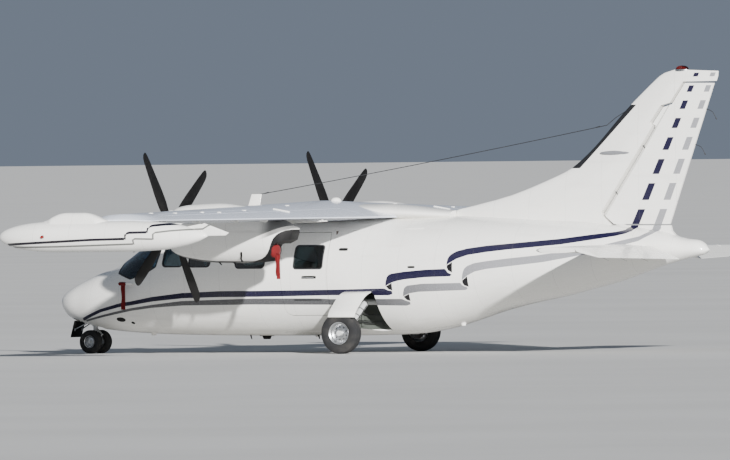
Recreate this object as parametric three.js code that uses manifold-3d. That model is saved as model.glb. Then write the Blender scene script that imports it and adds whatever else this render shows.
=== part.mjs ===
// Light twin-turboprop aircraft: high wing, tip tanks, short round fuselage.
// Millimetres, +X to the nose, +Y to port, +Z up, origin on the ground under the middle of the aircraft.
import * as THREE from 'three';
import { mergeVertices } from 'three/addons/utils/BufferGeometryUtils.js';
import Module from 'manifold-3d';

const wasm = await Module();
wasm.setup();

// Driving dimensions
const roundSteps = 28;            // facets round the fuselage
const skin = 45;                  // thickness of the fuselage wall
const glassThick = 14;
const joint = 0.3;                // gap between touching pieces
const running = 6;                // gap round a piece that moves
const seat = 0.4;                 // gap between a pin or shaft and its seat
const noseEnd = 4150;             // nose section meets the cabin
const cabinEnd = 420;             // cabin meets the wheel bay section
const bayEnd = -1300;             // wheel bay section meets the tail
const tailSolidFrom = -3100;      // behind this the tail cone is filled
const floorTop = 500;

const wing = { halfSpan: 5640, end: 5745, endThick: 0.05, rootLead: 1620, rootTrail: -360, tipLead: 1360,
  tipTrail: 400,
  rootZ: 1895, tipZ: 1852, rootThick: 0.15, tipThick: 0.125, rootCamber: 0.026, tipCamber: 0.022,
  rootDrop: 50, tipDrop: 6 };
const flap = { share: 0.74, inner: 900, outer: 5470, gap: 5 };
const spoiler = { front: 0.6, back: 0.725, inner: 2900, outer: 5050, thick: 12, rib: 20 };
const tank = { y: 5758, z: 1640, radius: 206, nose: 2790, tail: -390 };
const nacelle = { y: 2310, front: 2010 };
const exhaust = { mouth: [380, 1395], inside: [760, 1470], radius: 104, inset: 8 };
const flapFairing = { y: 1930, width: 54 };
const propeller = { x: 2080, z: 1730, radius: 1245, hub: 148, hubRear: -58, hubFront: 88, blades: 4,
  leadAngle: 35,
  shaft: 60, shaftEnd: 2062 };
const mainWheel = { x: 110, y: 1150, z: 280, radius: 280, width: 180, axle: 36, rim: 148 };
const noseWheel = { x: 4560, y: 135, z: 162, radius: 162, width: 112, axle: 21, rim: 80 };
const noseStem = { radius: 30, top: 420, legRadius: 34, legTop: 366, outerRadius: 46, outerBottom: 372 };
const door = { hingeX: 1225, hingeY: 832, radius: 715, bottom: 520, top: 1640, corner: 90, edge: 8 };
const latch = { z: 1030, high: 30, inner: 780, outer: 806, reach: door.radius + running - 0.8 };
const elevator = { hingeX: -4160, z: 1390, droop: 18, inner: 312, tip: 2395, hingesAt: [700, 1700] };
const hinge = { pin: 6, eye: 20, width: 14, slot: 60, slotWidth: 26, reach: 110, pinHold: 8 };

// Fuselage stations: x, bottom, widest, top, half width
const stations = [
  [5065, 684, 712, 741, 30], [5025, 605, 708, 802, 112], [4955, 522, 702, 858, 188],
  [4800, 440, 700, 942, 300], [4600, 378, 705, 1032, 398], [4400, 340, 715, 1108, 490],
  [noseEnd, 308, 735, 1178, 583], [3950, 292, 762, 1288, 642], [3750, 278, 800, 1425, 690],
  [3550, 268, 848, 1562, 728], [3350, 260, 902, 1682, 760], [3150, 254, 958, 1778, 786],
  [2950, 250, 1005, 1828, 803], [2650, 244, 1045, 1855, 812], [1900, 236, 1050, 1862, 815],
  [cabinEnd, 234, 1050, 1862, 815], [-60, 240, 1052, 1862, 815], [-470, 254, 1058, 1860, 812],
  [-930, 316, 1085, 1855, 796], [bayEnd, 410, 1128, 1846, 762], [-1840, 568, 1195, 1822, 692],
  [-2290, 669, 1230, 1800, 618], [-2670, 740, 1258, 1782, 550], [tailSolidFrom, 838, 1300, 1757, 470],
  [-3520, 936, 1340, 1730, 395], [-4000, 1088, 1400, 1706, 300], [-4300, 1190, 1440, 1672, 240],
  [-4540, 1270, 1445, 1570, 176], [-4760, 1350, 1448, 1540, 112], [-4870, 1398, 1455, 1516, 66],
  [-4895, 1428, 1458, 1488, 28],
];

const noseTip = stations[0][0];
const tailEnd = stations.at(-1)[0];

// Side windows: name, sides, then front x, rear x, bottom, top and corner radius
const sideWindows = [
  ['cockpit_window', [1, -1], 3080, 2760, 1165, 1530, 60],
  ['front_window', [1, -1], 2650, 2330, 1150, 1480, 70],
  ['middle_window', [1, -1], 1925, 1485, 1150, 1475, 70],
  ['rear_window', [-1], 1035, 560, 1145, 1472, 60],
  ['door_window', [1], 1035, 575, 1145, 1472, 60],
];
const windscreenSide = [[4105, 1196], [3920, 1078], [3630, 992], [3330, 1110], [3200, 1190],
  [3160, 1400], [3175, 1600], [3225, 1752]];

const paint = (color, roughness, metalness = 0) =>
  new THREE.MeshStandardMaterial({ color, roughness, metalness });
const white = paint(0xe9e7e2, 0.35);
const glass = paint(0x1c2a33, 0.08);
const rubber = paint(0x1b1b1c, 0.9);
const metal = paint(0xb9bcc0, 0.35, 0.8);
const black = paint(0x131314, 0.5);
const trim = paint(0x6f6a63, 0.8);
const red = paint(0x6e1512, 0.4);

const aircraft = new THREE.Group();

// Turns a closed geometry into a solid and back
function solidOf(geometry) {
  const plain = geometry.clone();
  for (const name of Object.keys(plain.attributes)) {
    if (name !== 'position') plain.deleteAttribute(name);
  }
  const merged = mergeVertices(plain, 1e-3);
  const corners = merged.index.array;
  const kept = [];
  for (let i = 0; i < corners.length; i += 3) {
    const [a, b, c] = [corners[i], corners[i + 1], corners[i + 2]];
    if (a !== b && b !== c && c !== a) kept.push(a, b, c);
  }
  return new wasm.Manifold(new wasm.Mesh({
    numProp: 3,
    vertProperties: Float32Array.from(merged.attributes.position.array),
    triVerts: Uint32Array.from(kept),
  }));
}

function geometryOf(solid) {
  const mesh = solid.getMesh();
  const geometry = new THREE.BufferGeometry();
  geometry.setAttribute('position', new THREE.BufferAttribute(Float32Array.from(mesh.vertProperties), 3));
  geometry.setIndex(new THREE.BufferAttribute(Uint32Array.from(mesh.triVerts), 1));
  geometry.computeVertexNormals();
  return geometry;
}

function add(name, solid, material) {
  const mesh = new THREE.Mesh(geometryOf(solid), material);
  mesh.name = name;
  aircraft.add(mesh);
}

const join = (...solids) => solids.reduce((all, next) => all.add(next));
const between = (a, b, share) => a + (b - a) * share;

// A box from its lowest to its highest corner
function block(x0, x1, y0, y1, z0, z1) {
  const geometry = new THREE.BoxGeometry(x1 - x0, y1 - y0, z1 - z0);
  geometry.translate((x0 + x1) / 2, (y0 + y1) / 2, (z0 + z1) / 2);
  return solidOf(geometry);
}

// A round bar between two points
function bar(from, to, radius, endRadius = radius, sides = 16) {
  const start = new THREE.Vector3(...from);
  const span = new THREE.Vector3(...to).sub(start);
  const geometry = new THREE.CylinderGeometry(endRadius, radius, span.length(), sides);
  geometry.translate(0, span.length() / 2, 0);
  const turn = new THREE.Quaternion().setFromUnitVectors(new THREE.Vector3(0, 1, 0),
    span.clone().normalize());
  geometry.applyQuaternion(turn);
  geometry.translate(...from);
  return solidOf(geometry);
}

// A round hole between two points, its facets at the stated radius
function hole(from, to, radius, endRadius = radius, sides = 16) {
  const corner = Math.cos(Math.PI / sides);
  return bar(from, to, radius / corner, endRadius / corner, sides);
}

// A hinge on an axis: an arm with an eye for the fixed piece, a slot and a pin for the moving one
function hingeAt(centre, axis, forward) {
  const at = (along, ahead = 0) => centre.map((v, k) => v + along * axis[k] + ahead * forward[k]);
  const [half, slotHalf] = [hinge.width / 2, hinge.slotWidth / 2];
  const arm = join(bar(at(-half), at(half), hinge.eye), bar(at(0), at(0, hinge.reach), half, half, 8));
  return {
    arm: arm.subtract(hole(at(-hinge.width), at(hinge.width), hinge.pin + seat)),
    slot: bar(at(-slotHalf), at(slotHalf), hinge.slot, hinge.slot, 24),
    pin: bar(at(-slotHalf - hinge.pinHold), at(slotHalf + hinge.pinHold), hinge.pin),
  };
}

// A body lofted through rings of points, its flat ends facing along one axis ('x', 'y' or 'z')
function loft(rings, axis) {
  const across = { x: ['y', 'z'], y: ['x', 'z'], z: ['x', 'y'] }[axis];
  const count = rings[0].length;
  const positions = rings.flat().flatMap((p) => [p.x, p.y, p.z]);
  const faces = [];
  for (let r = 0; r + 1 < rings.length; r++) {
    for (let i = 0; i < count; i++) {
      const here = r * count + i;
      const next = r * count + (i + 1) % count;
      faces.push(here, next, next + count, here, next + count, here + count);
    }
  }
  for (const [ring, start, flip] of [[rings[0], 0, true], [rings.at(-1), (rings.length - 1) * count,
    false]]) {
    const outline = ring.map((p) => new THREE.Vector2(p[across[0]], p[across[1]]));
    const turned = THREE.ShapeUtils.isClockWise(outline);
    const sideTurned = flip !== turned;
    for (const [a, b, c] of THREE.ShapeUtils.triangulateShape(outline, [])) {
      if (sideTurned) faces.push(start + a, start + c, start + b);
      else faces.push(start + a, start + b, start + c);
    }
  }
  const geometry = new THREE.BufferGeometry();
  geometry.setAttribute('position', new THREE.Float32BufferAttribute(positions, 3));
  geometry.setIndex(faces);
  return closedOutward(geometry, count, rings.length);
}

// Turns the side faces or the end faces of a loft so that all of them face out
function closedOutward(geometry, count, ringCount) {
  const points = geometry.attributes.position;
  const faces = Array.from(geometry.index.array);
  const sides = 6 * count * (ringCount - 1);
  const edgeOwner = new Map();
  for (let i = 0; i < sides; i += 3) {
    for (let k = 0; k < 3; k++) edgeOwner.set(`${faces[i + k]}_${faces[i + (k + 1) % 3]}`, true);
  }
  for (const [from, to] of [[sides, sides + 3 * (count - 2)], [sides + 3 * (count - 2), faces.length]]) {
    let same = false;
    for (let i = from; i < to; i += 3) {
      for (let k = 0; k < 3; k++) same = same || edgeOwner.has(`${faces[i + k]}_${faces[i + (k + 1) % 3]}`);
    }
    if (same) {
      for (let i = from; i < to; i += 3) [faces[i + 1], faces[i + 2]] = [faces[i + 2], faces[i + 1]];
    }
  }
  let volume = 0;
  const [a, b, c] = [new THREE.Vector3(), new THREE.Vector3(), new THREE.Vector3()];
  for (let i = 0; i < faces.length; i += 3) {
    a.fromBufferAttribute(points, faces[i]);
    b.fromBufferAttribute(points, faces[i + 1]);
    c.fromBufferAttribute(points, faces[i + 2]);
    volume += a.dot(b.cross(c));
  }
  if (volume < 0) {
    for (let i = 0; i < faces.length; i += 3) [faces[i + 1], faces[i + 2]] = [faces[i + 2], faces[i + 1]];
  }
  geometry.setIndex(faces);
  return solidOf(geometry);
}

// A flat outline of [x, z] points, or a shape, carried across from one y to another
function sidePrism(outline, y0, y1) {
  const shape = Array.isArray(outline) ? new THREE.Shape(outline.map(([x, z]) => new THREE.Vector2(x,
    z))) : outline;
  const geometry = new THREE.ExtrudeGeometry(shape, { depth: y1 - y0, bevelEnabled: false,
    curveSegments: 3 });
  geometry.rotateX(Math.PI / 2);
  geometry.translate(0, y1, 0);
  return solidOf(geometry);
}

// A flat outline of [x, y] points carried up from one z to another
function planPrism(outline, z0, z1) {
  const shape = new THREE.Shape(outline.map(([x, y]) => new THREE.Vector2(x, y)));
  const geometry = new THREE.ExtrudeGeometry(shape, { depth: z1 - z0, bevelEnabled: false });
  geometry.translate(0, 0, z0);
  return solidOf(geometry);
}

// A profile of [radius, distance] points turned about an axis along X or Y, its facets at the stated radius
function turned(profile, axis, centre, sides) {
  const half = Math.PI / sides;
  const outline = profile.map(([r, d]) => new THREE.Vector2(r / Math.cos(half), d));
  const geometry = new THREE.LatheGeometry(outline, sides, half);
  if (axis === 'x') geometry.rotateZ(-Math.PI / 2);
  geometry.translate(...centre);
  const solid = solidOf(geometry);
  return solid.volume() < 0 ? solidOf(flipped(geometry)) : solid;
}

function flipped(geometry) {
  const copy = geometry.clone();
  const faces = copy.index.array;
  for (let i = 0; i < faces.length; i += 3) [faces[i + 1], faces[i + 2]] = [faces[i + 2], faces[i + 1]];
  return copy;
}

function roundedWindow(frontX, rearX, bottom, top, radius, grow = 0) {
  const [x0, x1, z0, z1, r] = [rearX - grow, frontX + grow, bottom - grow, top + grow, radius + grow];
  const shape = new THREE.Shape();
  shape.moveTo(x0 + r, z0);
  shape.lineTo(x1 - r, z0);
  shape.absarc(x1 - r, z0 + r, r, -Math.PI / 2, 0);
  shape.lineTo(x1, z1 - r);
  shape.absarc(x1 - r, z1 - r, r, 0, Math.PI / 2);
  shape.lineTo(x0 + r, z1);
  shape.absarc(x0 + r, z1 - r, r, Math.PI / 2, Math.PI);
  shape.lineTo(x0, z0 + r);
  shape.absarc(x0 + r, z0 + r, r, Math.PI, 1.5 * Math.PI);
  return shape;
}

// The fuselage, from one x back to another, drawn in by an inset
function sectionAt(x) {
  let i = 0;
  while (i + 2 < stations.length && stations[i + 1][0] > x) i++;
  const share = (stations[i][0] - x) / (stations[i][0] - stations[i + 1][0]);
  return stations[i].map((value, k) => value + (stations[i + 1][k] - value) * share);
}

function fuselageRing(x, inset) {
  const [, bottom, widest, top, halfWidth] = sectionAt(x);
  const ring = [];
  for (let i = 0; i < roundSteps; i++) {
    const angle = (i + 0.5) * 2 * Math.PI / roundSteps;
    const height = Math.cos(angle) > 0 ? top - widest : widest - bottom;
    ring.push(new THREE.Vector3(x, (halfWidth - inset) * Math.sin(angle),
      widest + (height - inset) * Math.cos(angle)));
  }
  return ring;
}

function fuselage(frontX, rearX, inset = 0) {
  const inside = stations.map((s) => s[0]).filter((x) => x < frontX - 1 && x > rearX + 1);
  return loft([frontX, ...inside, rearX].map((x) => fuselageRing(x, inset)), 'x');
}

// Wing sections: an even thickness curve on a curved mean line
function airfoil(y, lead, trail, z, drop, thick, camber, grow = 0) {
  const chord = lead - trail;
  const steps = 11;
  const upper = [];
  const lower = [];
  for (let i = 0; i <= steps; i++) {
    const s = (1 - Math.cos(Math.PI * i / steps)) / 2;
    const swell = 0.2969 * Math.sqrt(s) - 0.126 * s - 0.3516 * s ** 2 + 0.2843 * s ** 3 - 0.0995 * s ** 4;
    const half = 5 * thick * chord * swell;
    const mean = z - drop * s + camber * chord * 4 * s * (1 - s);
    const x = lead - s * chord + grow * (1 - 2 * s);
    upper.push(new THREE.Vector3(x, y, mean + half + 2 * s + (i > 0 ? grow : 0)));
    if (i > 0) lower.push(new THREE.Vector3(x, y, mean - half - 2 * s - grow));
  }
  return [...upper, ...lower.reverse()];
}

function wingShare(y) {
  return Math.min(1, Math.abs(y) / wing.halfSpan);
}

function wingSection(y, grow = 0) {
  const share = wingShare(y);
  return airfoil(y, between(wing.rootLead, wing.tipLead, share),
    between(wing.rootTrail, wing.tipTrail, share),
    between(wing.rootZ, wing.tipZ, share), between(wing.rootDrop, wing.tipDrop, share),
    between(wing.rootThick, wing.tipThick, share), between(wing.rootCamber, wing.tipCamber, share), grow);
}

const chordPoint = (y, share) => between(between(wing.rootLead, wing.tipLead, wingShare(y)),
  between(wing.rootTrail, wing.tipTrail, wingShare(y)), share);

// The last section slims the tip down on to the tank
function wingEnd(y, grow) {
  const [lead, trail, z] = [wing.tipLead - 60, wing.tipTrail + 40, wing.tipZ - 12];
  return airfoil(y + Math.sign(y) * grow, lead, trail, z, 0, wing.endThick, 0, grow);
}

const wingWhole = (grow = 0) => loft([wingEnd(-wing.end, grow),
  ...[-wing.halfSpan, 0, wing.halfSpan].map((y) => wingSection(y, grow)), wingEnd(wing.end, grow)], 'y');

// A strip of the wing in plan, between two shares of the chord
function wingStrip(side, inner, outer, front, back, edge = 0) {
  const outline = [[chordPoint(inner, front) + edge, side * (inner - edge)],
    [chordPoint(outer, front) + edge, side * (outer + edge)],
    [chordPoint(outer, back) - edge, side * (outer + edge)],
    [chordPoint(inner, back) - edge, side * (inner - edge)]];
  return planPrism(outline, 1500, 2400);
}

// Fuselage: nose, cabin, wheel bay section and tail
const noseBay = { front: 4800, rear: 4350, halfWidth: 190, top: 640 };
const noseSolid = fuselage(noseTip, noseEnd + joint)
  .subtract(block(noseBay.rear, noseBay.front, -noseBay.halfWidth, noseBay.halfWidth, 0, noseBay.top));
add('nose_section', noseSolid, white);

const wingHole = wingWhole(2 * joint);
const cabinOuter = fuselage(noseEnd, cabinEnd);
const cabinInner = fuselage(noseEnd + 10, cabinEnd - 10, skin);
const cabinRing = cabinOuter.subtract(cabinInner);
const glassSkin = cabinOuter.subtract(fuselage(noseEnd + 10, cabinEnd - 10, glassThick));
const sideReach = (side, from) => (side > 0 ? [from, 1200] : [-1200, -from]);
const labelOf = (side) => (side > 0 ? 'left' : 'right');

// The door's outline, cut round at its rear edge by the swing of the door about its hinge
function doorBlank(grow) {
  const rear = door.hingeX - door.radius - 60;
  const outline = roundedWindow(door.hingeX - door.edge, rear, door.bottom, door.top, door.corner, grow);
  return sidePrism(outline, ...sideReach(1, 150)).intersect(doorSwing(door.radius + grow));
}

function doorSwing(radius) {
  return bar([door.hingeX, door.hingeY, 0], [door.hingeX, door.hingeY, 2400], radius, radius, 96);
}

const latchBolt = block(cabinEnd, door.hingeX - door.radius + 20, latch.inner, latch.outer,
  latch.z, latch.z + latch.high).intersect(doorSwing(latch.reach));
let cabinWall = cabinRing.subtract(doorBlank(running)).subtract(wingHole);
let cabinDoor = join(cabinRing.intersect(doorBlank(0)), latchBolt);
for (const [name, sides, ...outline] of sideWindows) {
  for (const side of sides) {
    const opening = sidePrism(roundedWindow(...outline), ...sideReach(side, 150));
    const pane = sidePrism(roundedWindow(...outline, -joint), ...sideReach(side, 150)).intersect(glassSkin);
    if (name === 'door_window') cabinDoor = cabinDoor.subtract(opening);
    else cabinWall = cabinWall.subtract(opening);
    add(sides.length > 1 ? `${name}_${labelOf(side)}` : name, pane, glass);
  }
}

// The windscreens, either side of the centre post
const post = 22;
const screenEdge = 1.5;
const screenMiddle = [0, 1].map((k) => windscreenSide.reduce((sum, point) => sum + point[k], 0)
  / windscreenSide.length);
const screenPane = windscreenSide.map(([x, z]) => {
  const share = screenEdge / Math.hypot(screenMiddle[0] - x, screenMiddle[1] - z);
  return [between(x, screenMiddle[0], share), between(z, screenMiddle[1], share)];
});
for (const side of [1, -1]) {
  cabinWall = cabinWall.subtract(sidePrism(windscreenSide, ...sideReach(side, post)));
  const pane = sidePrism(screenPane, ...sideReach(side, post + joint)).intersect(glassSkin);
  add(`windscreen_${labelOf(side)}`, pane, glass);
}
add('cabin_shell', cabinWall, white);
add('cabin_door', cabinDoor, white);

// Floor, bulkheads, panel and seats inside the cabin
const cabinSpace = fuselage(noseEnd - joint, cabinEnd + joint, skin + joint);
add('cabin_floor', cabinSpace.intersect(block(cabinEnd + 40 + joint, 3900, -900, 900, floorTop - 40,
  floorTop)), trim);
add('rear_bulkhead', cabinSpace.intersect(block(cabinEnd + joint, cabinEnd + 40, -900, 900, 0, 2000))
  .subtract(wingHole), trim);
add('instrument_panel', cabinSpace.intersect(block(3520, 3620, -620, 620, 700, 1130))
  .add(block(3540, 3600, -60, 60, floorTop + joint, 720)), black);

// Seats: x of the front edge, y, name
const seats = [[3300, 300, 'pilot_seat_left'], [3300, -300, 'pilot_seat_right'],
  [2450, -300, 'cabin_seat_front'],
  [1550, -300, 'cabin_seat_rear']];
for (const [x, y, name] of seats) {
  const width = 205;
  const profile = [[x, floorTop + joint], [x, 860], [x - 40, 880], [x - 400, 850], [x - 560, 1420],
    [x - 650, 1400],
    [x - 480, 780], [x - 480, floorTop + joint]];
  add(name, sidePrism(profile, y - width, y + width), trim);
}

// Wheel bay section: lower part carries the two open wells
const well = { front: 380, rear: -255, inner: 300, bottom: 285, top: 850 };
const bayOuter = fuselage(cabinEnd - joint, bayEnd + joint);
const baySpace = fuselage(cabinEnd + 10, bayEnd - 10, skin);
let bay = bayOuter.subtract(baySpace.intersect(block(bayEnd - 20, -400, -900, 900, 0, 2000)))
  .subtract(baySpace.intersect(block(bayEnd - 20, cabinEnd + 20, -900, 900, 905, 2000)));
const trunnionRear = -259.8;
const trunnionFront = 287.4;
const wellSide = [[well.front, well.bottom + 60], [well.front, 560], [well.front - 130, 800],
  [well.rear + 60, well.top], [well.rear, well.top - 60], [well.rear - 20, 560],
  [well.rear - 45, well.bottom + 25],
  [well.rear - 10, well.bottom]];
for (const side of [1, -1]) {
  const reach = side > 0 ? [well.inner, 1000] : [-1000, -well.inner];
  bay = bay.subtract(sidePrism(wellSide, ...reach));
}
add('wheel_bay_section', bay.subtract(wingHole), white);

// Fin outline (x, z) with the rudder's edge behind it
const finOutline = [[-1060, 1850], [-1060, 1921], [-1450, 2010], [-1845, 2102], [-2150, 2206],
  [-2430, 2330],
  [-2825, 2516], [-3710, 3365], [-4062, 3692], [-4150, 3762], [-4255, 3818], [-4362, 3845], [-5065, 3825],
  [-5058, 3705], [-4560, 3705], [-4375, 3430], [-4215, 3358], [-4045, 3118], [-4120, 3082],
  [-3325, 1905], [-3440, 1720], [-3440, 1700]];
const rudderSetBack = 45;
const finHalf = (z) => between(112, 44, (z - 1700) / 2100);

// Where the front edge lies at each height, with the dorsal fin's long slope below
const finFront = [[1600, -1060], [1921, -1060], [2102, -1845], [2330, -2430], [2516, -2825], [3365, -3710],
  [3692, -4062], [3762, -4150], [3818, -4255], [3845, -4362], [3900, -4500]];
const finRear = (z) => -4332 - (z - 1752) * 0.3632;
const finSwell = [[0, 0.02], [0.04, 0.34], [0.14, 0.66], [0.32, 1], [0.55, 0.87], [0.78, 0.53], [1, 0.14]];

// The fin and rudder as one form: round in front, fullest a third back and thin behind
function finForm(slim) {
  return loft(finFront.map(([z, lead]) => {
    const side = (way) => finSwell.map(([s, t]) => new THREE.Vector3(between(lead + 2, finRear(z), s),
      way * ((finHalf(z) - slim) * t + 1), z));
    return [...side(1), ...side(-1).reverse()];
  }), 'z');
}

const finPlate = (outline, slim = 0) => sidePrism(outline, -200, 200).intersect(finForm(slim));
const tailOuter = fuselage(bayEnd - joint, tailEnd);
const tailSpace = fuselage(bayEnd + 10, tailSolidFrom, skin);
const fuselageGrown = fuselage(600, tailEnd, -joint);

// Rudder: hinged on a swept line behind the fin
const hingeLow = [-3345, 1895];
const hingeHigh = [-4148, 3076];
const rudderOutline = [hingeLow, [-3500, 1752], [-4312, 1752], [-5008, 3662], [-4592, 3668], [-4408, 3396],
  [-4240, 3330], [-4082, 3112], hingeHigh];
const hingeSlope = (hingeHigh[0] - hingeLow[0]) / (hingeHigh[1] - hingeLow[1]);
const hingeLength = Math.hypot(hingeHigh[0] - hingeLow[0], hingeHigh[1] - hingeLow[1]);
const rudderAxis = [(hingeHigh[0] - hingeLow[0]) / hingeLength, 0,
  (hingeHigh[1] - hingeLow[1]) / hingeLength];
const rudderAhead = [rudderAxis[2], 0, -rudderAxis[0]];
const rudderHinges = [300, 1050].map((along) => {
  const centre = [hingeLow[0] + along * rudderAxis[0] - rudderSetBack * rudderAhead[0], 0,
    hingeLow[1] + along * rudderAxis[2] - rudderSetBack * rudderAhead[2]];
  return hingeAt(centre, rudderAxis, rudderAhead);
});
const fin = join(finPlate(finOutline).subtract(fuselageGrown), ...rudderHinges.map((h) => h.arm));
add('fin', fin, white);
const rudderNose = loft([1650, 3750].map((z) => [[0, 16], [-26, 44], [-72, 70], [-1500, 70], [-1500, -70],
  [-72, -70],
  [-26, -44], [0, -16]].map(([back, out]) =>
  new THREE.Vector3(hingeLow[0] + (z - hingeLow[1]) * hingeSlope + back, out, z))), 'z');
const rudderHorn = sidePrism([[-4060, 3100], [-4150, 3060], [-4600, 3060], [-4600, 3400], [-4200, 3400]],
  -26, 26);
let rudder = finPlate(rudderOutline, running).intersect(join(rudderNose, rudderHorn));
for (const { slot, pin } of rudderHinges) rudder = join(rudder.subtract(slot), pin);
add('rudder', rudder, white);

// Tailplane through the tail cone, elevators behind it
const stabTrail = elevator.hingeX + 60;
const stabRoot = { y: 0, lead: -3340, thick: 128 };
const stabTip = { y: 2400, lead: -3500, thick: 78 };
const tailSection = (y, lead, trail, thick, grow) => {
  const points = [[0, 0], [0.03, 0.42], [0.12, 0.78], [0.3, 1], [0.62, 0.94], [1, 0.62]];
  const chord = lead - trail;
  const upper = points.map(([s, t]) => new THREE.Vector3(lead - s * chord, y,
    elevator.z + t * (thick / 2 + grow)));
  const lower = points.slice(1).reverse()
    .map(([s, t]) => new THREE.Vector3(lead - s * chord, y, elevator.z - t * (thick / 2 + grow)));
  return [...upper, ...lower];
};
const stabiliserForm = (grow) => loft([{ ...stabTip, y: -stabTip.y }, stabRoot, stabTip]
  .map(({ y, lead, thick }) => tailSection(y, lead + grow, stabTrail - grow, thick, grow)), 'y');
add('tail_section', tailOuter.subtract(tailSpace).subtract(stabiliserForm(joint)), white);

// An elevator section, drooped about the hinge: distance ahead of the hinge and share of the half thickness
function elevatorRing(y, chord, thick) {
  const tilt = THREE.MathUtils.degToRad(elevator.droop);
  const upper = [[52, 0.2], [40, 0.7], [0, 1], [-0.4 * chord, 0.72], [-chord, 0.08]];
  const lower = upper.map(([s, t]) => [s, -t]).reverse();
  return [...upper, ...lower].map(([s, t]) => [s, t * thick / 2])
    .map(([s, t]) => new THREE.Vector3(elevator.hingeX + s * Math.cos(tilt) + t * Math.sin(tilt), y,
      elevator.z + s * Math.sin(tilt) + t * Math.cos(tilt)));
}

let stabiliser = stabiliserForm(0);
for (const side of [1, -1]) {
  let panel = loft([elevatorRing(side * elevator.inner, 470, 74),
    elevatorRing(side * elevator.tip, 325, 52)], 'y');
  for (const y of elevator.hingesAt) {
    const { arm, slot, pin } = hingeAt([elevator.hingeX, side * y, elevator.z], [0, 1, 0], [1, 0, 0]);
    stabiliser = join(stabiliser, arm);
    panel = join(panel.subtract(slot), pin);
  }
  add(`elevator_${labelOf(side)}`, panel, white);
}
add('stabiliser', stabiliser, white);

// Wing with its flaps and roll spoilers cut out of the same form
const wingForm = wingWhole();
let wingBody = wingForm;
for (const side of [1, -1]) {
  const label = labelOf(side);
  const flapStrip = wingStrip(side, flap.inner, flap.outer, flap.share, 1.2);
  add(`flap_${label}`, wingForm.intersect(flapStrip), white);
  const flapSpace = wingHole.intersect(wingStrip(side, flap.inner, flap.outer, flap.share, 1.2, flap.gap));
  const fairingSide = [[520, 1850], [450, 1783], [240, 1768], [20, 1786], [-95, 1812], [-95, 1840],
    [200, 1860]];
  const fairingEdges = [flapFairing.y - flapFairing.width / 2, flapFairing.y + flapFairing.width / 2];
  const flapTrack = sidePrism(fairingSide, ...fairingEdges.map((y) => side * y).sort((a, b) => a - b));
  wingBody = wingBody.subtract(wingStrip(side, flap.inner, flap.outer, flap.share, 1.2, flap.gap));
  const spoilerStrip = wingStrip(side, spoiler.inner, spoiler.outer, spoiler.front, spoiler.back);
  const panel = wingForm.intersect(spoilerStrip).subtract(wingForm.translate([0, 0, -spoiler.thick]));
  const ribs = [spoiler.inner + 150, (spoiler.inner + spoiler.outer) / 2, spoiler.outer - 150]
    .map((y) => wingStrip(side, y - spoiler.rib / 2, y + spoiler.rib / 2, spoiler.front + 0.02,
      spoiler.back - 0.01));
  const pocket = wingStrip(side, spoiler.inner, spoiler.outer, spoiler.front, spoiler.back, running)
    .subtract(wingForm.translate([0, 0, -spoiler.thick - running]))
    .subtract(wingForm.translate([0, 0, -spoiler.thick - seat]).intersect(join(...ribs)));
  add(`spoiler_${label}`, panel, white);
  wingBody = join(wingBody.subtract(pocket), flapTrack.subtract(flapSpace));
}
add('wing', wingBody, white);

// Fairing from the wing's trailing edge back to the fin
const fairing = [[300, 1830, 2020, 430], [-60, 1820, 2022, 420], [-360, 1800, 2000, 380],
  [-700, 1800, 1962, 300],
  [-1058, 1800, 1922, 200]].map(([x, low, high, half]) => {
  const ring = [];
  for (let i = 0; i < 20; i++) {
    const angle = (i + 0.5) * 2 * Math.PI / 20;
    const middle = (low + high) / 2;
    ring.push(new THREE.Vector3(x, half * Math.sin(angle), middle + (high - low) / 2 * Math.cos(angle)));
  }
  return ring;
});
add('wing_fairing', loft(fairing, 'x').subtract(wingHole).subtract(fuselageGrown)
  .subtract(block(-2000, 2000, -1500, 1500, 0, 1846)), white);

// Tip tanks, nacelles, propellers and main gear, port and starboard
const tankProfile = [[0, tank.tail], [60, tank.tail + 110], [128, tank.tail + 330], [180, tank.tail + 640],
  [tank.radius, tank.tail + 1150], [tank.radius, tank.nose - 900], [192, tank.nose - 560],
  [160, tank.nose - 300],
  [104, tank.nose - 105], [52, tank.nose - 25], [0, tank.nose]];

// Nacelle stations: x, bottom, widest, top, half width
const nacelleStations = [[nacelle.front, 1396, 1700, 1968, 238], [1990, 1376, 1698, 1990, 258],
  [1900, 1336, 1692, 2018, 285], [1780, 1304, 1685, 2036, 300], [1550, 1268, 1675, 2050, 314],
  [1335, 1252, 1665, 2055, 318], [930, 1246, 1655, 2010, 314], [670, 1248, 1650, 1940, 302],
  [480, 1266, 1650, 1900, 285], [250, 1330, 1670, 1870, 258], [80, 1480, 1720, 1845, 228],
  [-40, 1650, 1770, 1835, 200]];

// Intake below the spinner: x, middle height, half height and half width
const intakeStations = [[nacelle.front + 60, 1446, 36, 118], [nacelle.front - 60, 1446, 34, 112],
  [nacelle.front - 260, 1470, 20, 80]];

// The nacelle's rear edge in side view, from below to the top, and the rear edge of the dark outlet behind it
const nacelleRear = [[850, 1262], [735, 1276], [619, 1301], [545, 1338], [495, 1381], [458, 1428],
  [433, 1475],
  [400, 1532], [355, 1583], [285, 1628], [201, 1662], [90, 1688], [-29, 1701]];
const outletRear = [[20, 1550], [200, 1541], [240, 1505], [264, 1461], [296, 1353], [360, 1300],
  [435, 1262],
  [558, 1235], [850, 1200]];

// Blade sections: distance out, chord, thickness, pitch in degrees
const bladeSections = [[120, 90, 88, 40], [270, 110, 76, 40], [420, 170, 46, 34], [640, 215, 30, 27],
  [900, 212, 20, 20], [1120, 188, 14, 16], [1215, 140, 10, 15], [propeller.radius, 60, 6, 15]];

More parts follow.
